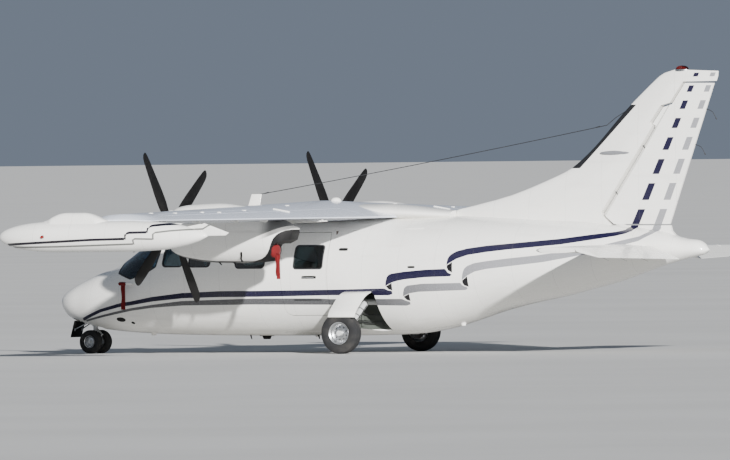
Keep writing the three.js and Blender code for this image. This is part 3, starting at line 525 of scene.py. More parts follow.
# Stripes on the fuselage's side, as (x, z) points of a top and a bottom edge, from the nose back
STRIPES = (
    ("navy",
     ((4.6, 0.48), (4.572, 0.497), (4.173, 0.618), (3.793, 0.698), (3.618, 0.72), (3.261, 0.779),
      (2.777, 0.831), (2.181, 0.855), (1.607, 0.856), (0.423, 0.866), (-0.24, 0.878), (-0.37, 0.878),
      (-0.408, 0.856), (-0.478, 0.841)),
     ((4.6, 0.455), (4.572, 0.457), (4.173, 0.574), (3.793, 0.648), (3.618, 0.666), (3.261, 0.717),
      (2.777, 0.759), (2.181, 0.773), (1.622, 0.772), (0.434, 0.79), (-0.417, 0.784), (-0.478, 0.801))),
    ("navy",
     ((-0.383, 0.912), (-0.391, 0.963), (-0.413, 1.03), (-0.446, 1.064), (-0.488, 1.079), (-0.679, 1.104),
      (-0.994, 1.129), (-1.281, 1.138), (-1.301, 1.117), (-1.32, 1.089), (-1.374, 1.062)),
     ((-0.383, 0.911), (-0.486, 0.958), (-0.569, 0.979), (-0.676, 0.998), (-0.991, 1.026), (-1.347, 1.036),
      (-1.374, 1.055))),
    ("navy",
     ((-1.301, 1.191), (-1.303, 1.233), (-1.315, 1.28), (-1.336, 1.313), (-1.364, 1.337), (-1.433, 1.375),
      (-1.579, 1.411), (-1.846, 1.446), (-2.125, 1.469), (-2.872, 1.531), (-3.303, 1.585), (-3.616, 1.618),
      (-3.734, 1.645), (-3.858, 1.71)),
     ((-1.301, 1.19), (-1.384, 1.239), (-1.447, 1.274), (-1.595, 1.321), (-1.863, 1.36), (-2.14, 1.389),
      (-2.89, 1.453), (-3.325, 1.514), (-3.636, 1.561), (-3.76, 1.592), (-3.83, 1.625), (-3.858, 1.672))),
    ("grey",
     ((4.55, 0.462), (4.212, 0.527), (3.641, 0.627), (3.285, 0.672), (2.802, 0.722), (1.673, 0.752),
      (0.675, 0.748), (0.494, 0.738), (-0.605, 0.735), (-0.633, 0.723), (-0.669, 0.706), (-0.712, 0.694)),
     ((4.55, 0.44), (4.212, 0.497), (3.641, 0.59), (3.285, 0.63), (2.802, 0.66), (1.695, 0.668),
      (0.513, 0.66), (-0.649, 0.642), (-0.712, 0.66))),
    ("grey",
     ((-0.629, 0.772), (-0.643, 0.828), (-0.663, 0.876), (-0.688, 0.9), (-0.721, 0.916), (-0.933, 0.939),
      (-1.484, 0.947), (-1.503, 0.918), (-1.528, 0.899), (-1.566, 0.887)),
     ((-0.629, 0.771), (-0.73, 0.809), (-0.864, 0.829), (-1.53, 0.849), (-1.566, 0.862))),
    ("grey",
     ((-1.511, 0.984), (-1.523, 1.051), (-1.541, 1.108), (-1.564, 1.146), (-1.603, 1.176), (-1.703, 1.213),
      (-1.871, 1.238), (-2.151, 1.27), (-2.556, 1.308), (-3.348, 1.41), (-3.97, 1.555), (-4.113, 1.64),
      (-4.192, 1.71)),
     ((-1.511, 0.983), (-1.591, 1.043), (-1.7, 1.097), (-1.869, 1.132), (-2.15, 1.162), (-2.667, 1.219),
      (-3.348, 1.335), (-3.97, 1.49), (-4.14, 1.59), (-4.192, 1.66))),
    ("fold", ((-0.396, 0.908), (-0.485, 0.952)), ((-0.396, 0.902), (-0.431, 0.865), (-0.485, 0.85))),
    ("fold", ((-1.308, 1.184), (-1.384, 1.23)), ((-1.308, 1.15), (-1.331, 1.112), (-1.384, 1.086))),
    ("fold", ((-0.64, 0.767), (-0.726, 0.803)), ((-0.64, 0.76), (-0.673, 0.72), (-0.726, 0.706))),
    ("fold", ((-1.514, 0.978), (-1.592, 1.037)), ((-1.514, 0.945), (-1.535, 0.91), (-1.592, 0.894))))
# Stripes on the tip tank: (x, z) points of the middle line, half thickness
TANK_STRIPES = (
    ("navy", ((2.62, 1.539), (2.329, 1.553), (1.79, 1.575), (1.277, 1.597), (0.775, 1.606)), 0.017),
    ("navy", ((0.752, 1.66), (0.735, 1.681), (0.7, 1.688), (0.45, 1.692)), 0.017),
    ("navy",
     ((0.43, 1.745), (0.415, 1.77), (0.37, 1.781), (0.217, 1.794), (-0.072, 1.808), (-0.3, 1.812),
      (-0.386, 1.839)), 0.017),
    ("grey", ((2.55, 1.507), (2.329, 1.503), (1.791, 1.509), (1.278, 1.521), (0.662, 1.537)), 0.012),
    ("grey", ((0.64, 1.595), (0.622, 1.606), (0.355, 1.6)), 0.012),
    ("grey",
     ((0.344, 1.67), (0.319, 1.687), (0.117, 1.708), (-0.071, 1.72), (-0.309, 1.729), (-0.385, 1.77),
      (-0.46, 1.8)), 0.012))
# Upright parts of the tank's steps: x, bottom z, top z, colour
TANK_STEPS = (
    (0.762, 1.598, 1.668, "navy"), (0.44, 1.684, 1.752, "navy"), (0.65, 1.531, 1.6, "grey"),
    (0.35, 1.594, 1.675, "grey"))
# Rows of squares up the fin: bottom z, top z
SQUARES = (
    (1.62, 1.919), (2.041, 2.268), (2.39, 2.592), (2.712, 2.885), (3.005, 3.142), (3.26, 3.377),
    (3.489, 3.578), (3.695, 3.747))


def band(finish, top, bottom):
    """1 between two edges given as (x, z) points."""
    lows = [z for _, z in top + bottom]
    low, high = min(lows) - 0.01, max(lows) + 0.01
    upper = finish.edge(finish.x, top, low, high)
    lower = finish.edge(finish.x, bottom, low, high)
    return ((finish.z - upper).rise(0.0008, -0.0008) * (finish.z - lower).rise(-0.0008, 0.0008)
            * finish.x.inside(top[-1][0], top[0][0]))


def square_columns(finish):
    """The two columns of squares, leaning with the rudder's edge: (navy, grey)."""
    rows = None
    for low, high in SQUARES:
        row = finish.z.inside(low, high)
        rows = row if rows is None else rows + row
    width = 0.104 - (finish.z - 2.0) * 0.018
    columns = []
    for front, lean in ((-3.914, 0.473), (-4.231, 0.427)):
        back = front - (finish.z - 2.04) * lean - finish.x
        columns.append(rows * back.rise(-0.0008, 0.0008) * (width - back).rise(-0.0008, 0.0008))
    return columns


def wear(finish, colour, grime=0.35):
    """Old gloss paint: faint fading, dust, chips of roughness; the grease under the belly is added in
    painted().
    """
    broad = finish.noise(0.9, 6, (1, 1, 2))
    streak = finish.noise(7.0, 5, (0.18, 1, 1.6))
    fine = finish.noise(60.0, 6)
    faded = finish.mix(broad.rise(0.35, 0.75) * 0.12, colour, srgb(214, 210, 198))
    dirt = (streak.rise(0.5, 0.78) * 0.6 + fine.rise(0.62, 0.8) * 0.25) * grime
    return faded, dirt, fine


def skin_lines(finish, spacing=0.55, width=0.0011):
    """Plate joints every so far along, with a row of rivets each side: (groove, rivets)."""
    place = (finish.x + 8).repeat(spacing)
    away = abs(place - spacing / 2)
    groove = away.rise(width * 1.6, width * 0.6)
    pitch = 0.028
    along = abs((finish.z + 4 + finish.y * 0.4).repeat(pitch) - pitch / 2)
    row = abs(away - 0.012)
    rivets = (along * along + row * row).rise(0.0028 ** 2, 0.0018 ** 2)
    return groove, rivets


def painted(name, livery=None, boots_and_shade=None, grime=0.35, colour=WHITE, lines=True):
    """The aircraft's gloss paint, with its stripes where a livery gives them."""
    finish = Finish(name, coat_weight=0.35, coat_roughness=0.08, specular_ior_level=0.5)
    paint, dirt, fine = wear(finish, colour, grime)
    if livery:
        for share, shade in livery(finish):
            paint = finish.mix(share, paint, shade)
    belly = finish.z.rise(0.62, 0.24) * finish.noise(3.2, 6, (0.35, 1, 1)).rise(0.38, 0.72) * 0.55
    dirt = (dirt + belly).at_most(0.85)
    paint = finish.mix(dirt * 0.5, paint, GRIME)
    rough = 0.24 + dirt * 0.3 + fine * 0.06
    height = finish.noise(260.0, 2) * 0.08 + finish.noise(2.2, 3) * 1.2
    if lines:
        groove, rivets = skin_lines(finish)
        paint = finish.mix(groove * 0.45, paint, srgb(90, 88, 84))
        height = height + rivets * 0.5 - groove
    # Black rubber boots, and on the nacelles painted shade, mixed in with the same near-black
    if boots_and_shade:
        share = boots_and_shade(finish)
        paint = finish.mix(share, paint, BOOT_AND_SHADE_BLACK)
        rough = rough + share * 0.28
    return finish.done(paint, rough, height, 0.0012)


def side_livery(finish):
    """Navy and grey ribbons that step up along the fuselage and break into squares on the fin."""
    grey = finish.mix(finish.x.rise(0.4, -2.2), STRIPE_DARK, STRIPE_LIGHT)
    shades = {"navy": NAVY, "grey": grey, "fold": FOLD_BLACK}
    layers = [(band(finish, top, bottom), shades[kind]) for kind, top, bottom in STRIPES]
    navy_squares, grey_squares = square_columns(finish)
    return [*layers, (grey_squares, grey), (navy_squares, NAVY)]


def tank_livery(finish):
    grey = srgb(108, 108, 104)
    shades = {"navy": srgb(16, 13, 24), "grey": grey}
    layers = []
    for kind, points, half in TANK_STRIPES:
        top = tuple((x, z + half) for x, z in points)
        bottom = tuple((x, z - half) for x, z in points)
        layers.append((band(finish, top, bottom), shades[kind]))
    for x, low, high, kind in TANK_STEPS:
        layers.append((finish.x.inside(x - 0.012, x + 0.012) * finish.z.inside(low, high), shades[kind]))
    return layers


def metal(name, colour, rough=0.35, grime=0.3, metallic=1.0):
    finish = Finish(name, metallic=metallic)
    cloud = finish.noise(9.0, 6)
    fine = finish.noise(140.0, 4)
    scratch = finish.noise(60.0, 3, (1, 12, 1))
    dirt = cloud.rise(0.45, 0.75) * grime
    return finish.done(finish.mix(dirt, colour, srgb(58, 52, 44)),
                       rough + dirt * 0.4 + scratch.rise(0.4, 0.7) * 0.08, fine * 0.5 + scratch * 0.3, 0.0004)


def rubber(name, colour=srgb(34, 34, 35)):
    """Tyre rubber with dust in the grooves and fine scuffs."""
    finish = Finish(name, specular_ior_level=0.3)
    dust = finish.noise(5.0, 6).rise(0.42, 0.72)
    fine = finish.noise(90.0, 5)
    return finish.done(finish.mix(dust * 0.22, colour, srgb(96, 92, 86)), 0.78 + fine * 0.15, fine, 0.0006,
                       0.6)


def glass(name, tint):
    finish = Finish(name, transmission_weight=1.0, ior=1.46)
    smear = finish.noise(14.0, 5, (1, 1, 0.4))
    return finish.done(finish.mix(smear.rise(0.4, 0.7) * 0.2, tint, srgb(120, 125, 120)),
                       0.02 + smear.rise(0.5, 0.8) * 0.05)


def satin(name, colour, rough=0.5, spots=0.25, shine=0.5):
    """A plain satin coating with small scuffs, for trim, black paint and plastics."""
    finish = Finish(name, specular_ior_level=shine)
    cloud = finish.noise(6.0, 5)
    fine = finish.noise(180.0, 5)
    light = tuple(min(1.0, c * 1.6 + 0.03) for c in colour)
    return finish.done(finish.mix(cloud.rise(0.45, 0.7) * spots, colour, light),
                       rough + fine * 0.12 - cloud * 0.05, fine, 0.0005, 0.4)


def cloth(name, colour, weave=420.0, light=1.35):
    """Woven cloth: crossed threads in the colour and the relief, with faded patches."""
    finish = Finish(name, sheen_weight=0.12, sheen_roughness=0.4, specular_ior_level=0.25)
    across = (finish.x * weave * 2.4 + finish.z * 0.2).waves() * (finish.z * weave * 2.4).waves()
    cloud = finish.noise(7.0, 5)
    fine = finish.noise(320.0, 3)
    pale = tuple(min(1.0, c * light + 0.01) for c in colour)
    return finish.done(finish.mix(cloud.rise(0.35, 0.7) * 0.5 + fine * 0.2, colour, pale), 0.82 + fine * 0.1,
                       across * 0.5 + fine, 0.0006)


def soot(name):
    """Heat-stained steel under soot: nearly black, browner and drier in patches."""
    finish = Finish(name, metallic=0.2)
    cloud = finish.noise(5.0, 6, (0.5, 1, 1))
    fine = finish.noise(80.0, 5)
    return finish.done(finish.mix(cloud.rise(0.45, 0.75) * 0.6, srgb(8, 7, 8), srgb(26, 22, 20)),
                       0.62 + fine * 0.25, fine * 0.6 + cloud, 0.0008)


def mesh_screen(name):
    """Dark wire mesh: a fine grid of bright wires over black, the black being painted shade for the dark duct
    behind the screen.
    """
    finish = Finish(name)
    rows = abs(finish.z.repeat(0.006) - 0.003).rise(0.0008, 0.0004)
    columns = abs((finish.y + 9).repeat(0.006) - 0.003).rise(0.0008, 0.0004)
    wires = (rows + columns).at_most(1.0)
    return finish.done(finish.mix(wires, srgb(8, 8, 9), srgb(70, 70, 72)), 0.7 - wires * 0.3)


def fin_boots(finish):
    """Black rubber along the leading edge of the fin, narrower above, between two heights."""
    edge = finish.edge(finish.z, ((2.4, -2.9), (2.483, -2.982), (3.327, -3.837), (3.45, -3.96)), -4.1, -2.0)
    return (finish.x - edge).rise(-0.003, 0.003) * finish.z.inside(2.478, 3.327)


def cowl_painted_shade(finish):
    """Painted shade on the nacelle: a dark band under the wing at its tail, where the wing's shadow falls,
    and a black line along its bottom for its shaded underside.
    """
    keel = finish.edge(finish.x, tuple((x, bottom) for x, bottom, *_ in COWL), 1.2, 1.8)
    line = (finish.z - keel).rise(0.032, 0.022) * finish.x.rise(0.72, 0.85)
    tail = (finish.x * 0.36 + finish.z).rise(1.752, 1.775) * finish.x.rise(0.62, 0.4) * 0.8
    return line.at_least(tail)


def wing_boots(finish):
    """Black rubber along the leading edge of the wing outboard of the engines and the tailplane."""
    lead = WING["lead"][0] + abs(finish.y) * ((WING["lead"][1] - WING["lead"][0]) / WING["half"])
    return (finish.x - lead).rise(-0.104, -0.098) * abs(finish.y).inside(1.0, 5.4)


def tail_boots(finish):
    lead = STABILISER["lead"] - abs(finish.y) * (STABILISER["sweep"] / STABILISER["half"])
    return (finish.x - lead).rise(-0.072, -0.068) * abs(finish.y).inside(0.5, 2.36)


body_paint = painted("striped_paint", side_livery, grime=0.3)
fin_paint = painted("fin_paint", side_livery, fin_boots, grime=0.25)
# The wing's white is a cooler, darker copy of the body's white: a painted reflection of the sky, over the
# whole wing
sky_tinted_wing_paint = painted("sky_tinted_wing_paint", None, wing_boots, grime=0.4, colour=srgb(214, 219, 230))
tail_paint = painted("tail_paint", None, tail_boots, grime=0.4)
tank_paint = painted("tank_paint", tank_livery, grime=0.25)
# The nacelle's paint carries painted shade under the wing at its tail and along its bottom
cowl_paint_with_shade = painted("cowl_paint_with_shade", None, cowl_painted_shade, grime=0.7)
plain_paint = painted("plain_paint", None, grime=0.4, lines=False)
spinner_paint = painted("spinner_paint", None, grime=0.2, lines=False)
leg_paint = painted("leg_paint", None, grime=0.8, colour=srgb(196, 197, 196), lines=False)
soot_black = soot("soot_black")
mesh_over_painted_shade = mesh_screen("mesh_over_painted_shade")
red_cloth = cloth("red_cloth", srgb(96, 10, 13), light=1.2)
green_glass = glass("green_lens", srgb(16, 120, 60))
lens_grey = satin("lens_grey", srgb(112, 113, 116), 0.5, 0.2)
# Grey of the bays, darkened partly as painted shade for their insides
bay_grey_with_shade = satin("bay_grey_with_shade", srgb(74, 78, 72), 0.6, 0.3)
lining_cloth = cloth("lining_cloth", srgb(150, 140, 122), 300.0)
seat_cloth = cloth("seat_cloth", srgb(112, 104, 96), 500.0)
carpet = cloth("carpet", srgb(70, 66, 62), 260.0)
dark_trim = satin("dark_trim", srgb(26, 26, 28), 0.5, 0.2)
panel_grey = satin("panel_grey", srgb(92, 94, 98), 0.5, 0.2)
dial_face = satin("dial_face", srgb(12, 12, 14), 0.25, 0.1)
tyre = rubber("tyre_rubber")
seal = satin("window_seal", srgb(30, 30, 32), 0.6)
clear_glass = glass("window_glass", srgb(96, 116, 118))
screen_glass = glass("screen_glass", srgb(120, 146, 160))
leg_metal = metal("leg_metal", srgb(186, 188, 190), 0.32)
rim_metal = metal("rim_metal", srgb(212, 213, 214), 0.28, 0.2)
dark_metal = metal("dark_metal", srgb(84, 84, 86), 0.5, 0.6)
blade_black = satin("blade_black", srgb(11, 10, 10), 0.6, 0.08, 0.2)
bay_black = satin("bay_black", srgb(30, 30, 31), 0.6, 0.3)
red_glass = glass("red_lens", srgb(150, 20, 16))


# Fuselage
def oval_ring(curve, y, inset):
    """Sections of a body round a middle at y: an upper and a lower half oval that meet where it is widest."""
    def place(x, turn):
        _, bottom, widest, top, half = curve(x)
        height = (top - widest if math.cos(turn) > 0 else widest - bottom) - inset
        return Vector((x, y + (half - inset) * math.sin(turn), widest + height * math.cos(turn)))
    return place


def hull_form(front, rear, inset=0.0, step=0.07, sides=96):
    count = max(2, round((front - rear) / step) + 1)
    return loft(oval_ring(hull, 0.0, inset), spread(front, rear, count), sides)


def skin_spot(x, z, side, out=0.0):
    """A point of the fuselage's skin at x and z, or so far out from it."""
    _, bottom, widest, top, half = hull(x)
    height = top - widest if z > widest else widest - bottom
    rise = max(-0.995, min(0.995, (z - widest) / height))
    reach = half * math.sqrt(1 - rise * rise)
    way = Vector((0, reach / half ** 2, (z - widest) / height ** 2)).normalized()
    return Vector((x, side * (reach + way.y * out), z + way.z * out))


def blister(x, z, long, high, side, profile, square=2.0, spot=skin_spot):
    """A low form on a skin: its profile's rows are (share of the outline, distance out)."""
    def place(row, turn):
        share, out = row
        along, up = (signed(part, 2 / square) for part in (math.cos(turn), math.sin(turn)))
        return spot(x + long * share * along, z + high * share * up, side, out)
    return loft(place, profile, 64)


def on_side(side, near, far):
    """Two distances from the middle as a low and a high y, on one side of the aircraft."""
    return (near, far) if side > 0 else (-far, -near)


def side_plate(bm, side, low, high, rounding=0.0, segments=2):
    """A plate on one side of the aircraft, from its corners on the port side."""
    near, far = on_side(side, low[1], high[1])
    return plate(bm, (low[0], near, low[2]), (high[0], far, high[2]), rounding, segments)


def window_form(front, rear, bottom, top, rounding, side, grow=0.0, far=1.2, near=0.15):
    outline = [(rear - grow, bottom - grow), (front + grow, bottom - grow), (front + grow, top + grow),
               (rear - grow, top + grow)]
    return prism(outline, "y", *on_side(side, near, far), rounding + grow)


def wing_at(y):
    """The wing's section at y: lead and trail x, height of its nose, drop, thickness and camber."""
    share = min(1.0, abs(y) / WING["half"])
    return [between(WING[k], share) for k in ("lead", "trail", "z", "drop", "thick", "camber")]


def wing_half(s, thick, chord):
    """Half the thickness of a wing's section at a share of its chord."""
    return 5 * thick * chord * (
        0.2969 * math.sqrt(s) - 0.126 * s - 0.3516 * s ** 2 + 0.2843 * s ** 3 - 0.0995 * s ** 4) + 0.002 * s


def wing_place(grow=0.0):
    """A point of the wing's section at y, for an angle round it from the trailing edge over the top."""
    def place(y, turn):
        s = (1 + math.cos(turn)) / 2
        lead, trail, z, drop, thick, camber = wing_at(y)
        if abs(y) > WING["half"]:
            lead, trail, z, drop, thick, camber = lead - 0.06, trail + 0.04, z - 0.012, 0.0, 0.05, 0.0
        chord = lead - trail
        half = wing_half(s, thick, chord) + grow
        mean = z - drop * s + camber * chord * 4 * s * (1 - s)
        return Vector((lead - s * chord + grow * (1 - 2 * s), y, mean + flank(turn) * half))
    return place


def wing_form(grow=0.0, sides=64):
    reach = WING["end"] + grow
    ys = [-reach, *spread(-WING["half"], WING["half"], 41), reach]
    return loft(wing_place(grow), ys, sides)


def chord_x(y, share):
    """The x of a share of the wing's chord at y."""
    lead, trail, *_ = wing_at(y)
    return lead + (trail - lead) * share


def wing_skin(y, x, way=1):
    """The height of the wing's skin over a point, on its top or its underside."""
    lead, trail, z, drop, thick, camber = wing_at(y)
    chord = lead - trail
    s = (lead - x) / chord
    return z - drop * s + camber * chord * 4 * s * (1 - s) + way * wing_half(s, thick, chord)


def lowered_wing(depth):
    bm = wing_form()
    bmesh.ops.translate(bm, verts=bm.verts, vec=(0, 0, -depth))
    return bm


def wing_strip(side, inner, outer, front, back, edge=0.0):
    outline = [(chord_x(inner, front) + edge, side * (inner - edge)),
               (chord_x(outer, front) + edge, side * (outer + edge)),
               (chord_x(outer, back) - edge, side * (outer + edge)),
               (chord_x(inner, back) - edge, side * (inner - edge))]
    return prism(outline, "z", 1.5, 2.4)


def door_form(grow=0.0):
    rear = DOOR["x"] - DOOR["radius"] - 0.06
    swing = bmesh.new()
    rod(swing, (DOOR["x"], DOOR["y"], 0), (DOOR["x"], DOOR["y"], 2.4), DOOR["radius"] + grow, 256)
    return combined(window_form(DOOR["x"] - 0.008, rear, DOOR["bottom"], DOOR["top"], DOOR["round"], 1, grow),
                    within(swing))


def drawn_in(outline, draw):
    """An outline of (x, z) points moved towards its middle."""
    middle = (sum(x for x, _ in outline) / len(outline), sum(z for _, z in outline) / len(outline))
    moved = []
    for x, z in outline:
        away = math.hypot(middle[0] - x, middle[1] - z)
        moved.append((x + (middle[0] - x) / away * draw, z + (middle[1] - z) / away * draw))
    return moved


def screen_form(side, post=0.022, draw=0.0):
    return prism(drawn_in(SCREEN, draw), "y", *on_side(side, post, 1.2), 0.02)


def build_fuselage():
    nose = as_object("nose_skin", hull_form(STATIONS[0][0], NOSE_END + SEAM, step=0.03))
    bay = block(NOSE_BAY["rear"], NOSE_BAY["front"], 0.0, NOSE_BAY["top"], NOSE_BAY["half"])
    finished(carved(nose, less(bay)), body_paint, replaces="nose_section")

    cabin = as_object("cabin_skin", hull_form(NOSE_END, CABIN_END, step=0.05))
    cuts = [less(hull_form(NOSE_END + 0.01, CABIN_END - 0.01, WALL, 0.05)), less(wing_form(2 * SEAM))]
    for _, *shape, sides in WINDOWS:
        cuts += [less(window_form(*shape, side)) for side in sides]
    cuts += [less(screen_form(side)) for side in (1, -1)]
    cuts.append(less(door_form(DOOR["gap"])))
    finished(carved(cabin, *cuts), body_paint, replaces="cabin_shell")

    door = as_object("door_skin", hull_form(1.4, CABIN_END, step=0.03))
    carved(door, less(hull_form(1.41, CABIN_END - 0.01, WALL, 0.03)), within(door_form()),
           less(window_form(*DOOR_WINDOW, 1)))
    finished(door, body_paint, "cabin_door", "white_paint", "cabin_door")
    bolt = bmesh.new()
    plate(bolt, (0.509, 0.781, 1.031), (0.54, 0.805, 1.059), 0.003)
    add("door_latch_bolt", bolt, leg_metal, "cabin_door")

    bay_skin = as_object("wheel_bay_skin", hull_form(CABIN_END - SEAM, BAY_END + SEAM, step=0.05))
    space = []
    for front, low, high in ((CABIN_END + 0.02, 0.905, 2.0), (-0.4, 0.0, 0.9)):
        room = hull_form(CABIN_END + 0.01, BAY_END - 0.01, WALL, 0.1, 48)
        space.append(less(combined(block(front, BAY_END - 0.02, low, high, 0.9), within(room))))
    wells = [less(prism(WELL, "y", *on_side(side, 0.3, 1.0))) for side in (1, -1)]
    carved(bay_skin, *space, *wells, less(wing_form(2 * SEAM)))
    finished(bay_skin, body_paint, replaces="wheel_bay_section")

    tail = as_object("tail_skin", hull_form(BAY_END - SEAM, STATIONS[-1][0], step=0.05))
    finished(tail, body_paint, replaces="tail_section")
    fairing = Curve(FAIRING)

    def around(x, turn):
        _, low, high, half = fairing(x)
        return Vector((x, half * math.sin(turn), (low + high) / 2 + (high - low) / 2 * math.cos(turn)))
    add("wing_fairing_skin", loft(around, spread(0.3, -1.058, 30), 64), plain_paint, slot="white_paint",
        replaces="wing_fairing")


def build_wells():
    """Dark linings of the wheel wells and the nose bay, with frames, pipes and bundles of wire along them;
    their dark grey is partly the bays' own colour and partly painted shade for their insides.
    """
    for side, label in SIDES:
        lining = combined(prism(WELL, "y", *on_side(side, 0.3002, 0.9)),
                          less(prism(drawn_in(WELL, 0.003), "y", *on_side(side, 0.303, 1.0))),
                          within(hull_form(CABIN_END - 0.01, -0.5, 0.02, 0.05)))
        add(f"well_lining_{label}", lining, bay_grey_with_shade)
        frames = bmesh.new()
        for x in (-0.2, -0.08, 0.22, 0.33):
            side_plate(frames, side, (x - 0.004, 0.303, 0.36), (x + 0.004, 0.325, 0.78), 0.001)
            side_plate(frames, side, (x - 0.016, 0.322, 0.36), (x + 0.016, 0.326, 0.78))
        for z in (0.45, 0.58, 0.74):
            side_plate(frames, side, (-0.24, 0.304, z - 0.004), (0.35, 0.318, z + 0.004), 0.001)
        add(f"well_frames_{label}", frames, bay_grey_with_shade)
        pipes = bmesh.new()
        for k, (z, radius) in enumerate(((0.4, 0.006), (0.425, 0.005), (0.52, 0.008), (0.66, 0.005),
                                         (0.79, 0.007))):
            near = side * (0.335 + 0.004 * k)
            hose(pipes,
                 [(-0.235, near, z + 0.02), (-0.12, near + side * 0.006, z), (0.05, near, z - 0.004),
                  (0.2, near + side * 0.005, z + 0.012), (0.32, near, z + 0.02)], radius, 10, bend=6)
        hose(pipes,
             [(-0.22, side * 0.36, 0.76), (-0.17, side * 0.42, 0.72), (-0.13, side * 0.47, 0.77),
              (-0.2, side * 0.52, 0.8)], 0.012, 12, bend=8)
        side_plate(pipes, side, (-0.245, 0.34, 0.6), (-0.17, 0.46, 0.67), 0.008)
        add(f"well_pipes_{label}", pipes, dark_metal)
    lining = combined(block(4.3502, 4.7998, 0.2, 0.6398, 0.1898),
                      less(block(4.353, 4.797, 0.1, 0.637, 0.187)), within(hull_form(4.9, 4.2, 0.015, 0.03)))
    add("nose_bay_lining", lining, bay_grey_with_shade)
    ribs = bmesh.new()
    for x in (4.42, 4.5, 4.64, 4.72):
        for side in (1, -1):
            side_plate(ribs, side, (x - 0.006, 0.165, 0.44), (x + 0.006, 0.188, 0.636))
        plate(ribs, (x - 0.006, -0.187, 0.615), (x + 0.006, 0.187, 0.636))
    for z in (0.5, 0.54):
        hose(ribs,
             [(4.37, 0.15, z), (4.48, 0.155, z + 0.01), (4.6, 0.15, z - 0.005), (4.78, 0.155, z + 0.01)],
             0.006, bend=6)
    add("nose_bay_ribs", ribs, dark_metal)


def build_cabin():
    """Lining, carpet, bulkhead, panel, controls and seats inside the cabin."""
    lining = hull_form(3.12, CABIN_END + 0.045, WALL + 0.0008, 0.06)
    cuts = [less(hull_form(3.13, CABIN_END + 0.03, WALL + 0.006, 0.06)), less(wing_form(0.002)),
            less(door_form(0.012))]
    for _, *shape, sides in WINDOWS:
        cuts += [less(window_form(*shape, side, 0.004)) for side in sides]
    cuts += [less(screen_form(side, 0.0)) for side in (1, -1)]
    finished(carved(as_object("cabin_lining", lining), *cuts), lining_cloth)
    door_lining = as_object("door_lining", hull_form(1.4, CABIN_END, WALL + 0.0008, 0.04))
    carved(door_lining, less(hull_form(1.41, CABIN_END - 0.01, WALL + 0.007, 0.04)), within(door_form(-0.03)),
           less(window_form(*DOOR_WINDOW, 1, 0.004)))
    finished(door_lining, lining_cloth, "cabin_door")
    handle = bmesh.new()
    rod(handle, (0.66, 0.758, 1.0), (0.66, 0.725, 1.0), 0.016, 24)
    plate(handle, (0.64, 0.716, 0.99), (0.8, 0.73, 1.01), 0.006)
    plate(handle, (0.62, 0.742, 0.72), (1.05, 0.752, 0.86), 0.004)
    add("door_inside_handle", handle, dark_trim, "cabin_door")

    floor = combined(block(0.461, 3.899, 0.4605, 0.4995, 0.9),
                     within(hull_form(4.0, 0.4, WALL + 0.007, 0.06)))
    add("cabin_carpet", floor, carpet, slot="floor_trim", replaces="cabin_floor")
    wall = combined(block(0.4215, 0.459, 0.24, 1.95, 0.9), within(hull_form(0.5, 0.4, WALL + 0.0006, 0.06)),
                    less(wing_form(0.002)))
    add("rear_bulkhead_trim", wall, lining_cloth, slot="floor_trim", replaces="rear_bulkhead")
    pads = bmesh.new()
    for y in (-0.45, -0.15, 0.15, 0.45):
        plate(pads, (0.4595, y - 0.14, 0.6), (0.474, y + 0.14, 1.15), 0.006, 3)
        plate(pads, (0.4595, y - 0.14, 1.18), (0.474, y + 0.14, 1.66), 0.006, 3)
    add("bulkhead_panels", pads, seat_cloth)
    build_cockpit()
    for x, y, label in ((3.3, 0.3, "pilot_seat_left"), (3.3, -0.3, "pilot_seat_right"),
                        (2.45, -0.3, "cabin_seat_front"), (1.55, -0.3, "cabin_seat_rear")):
        build_seat(x, y, label)


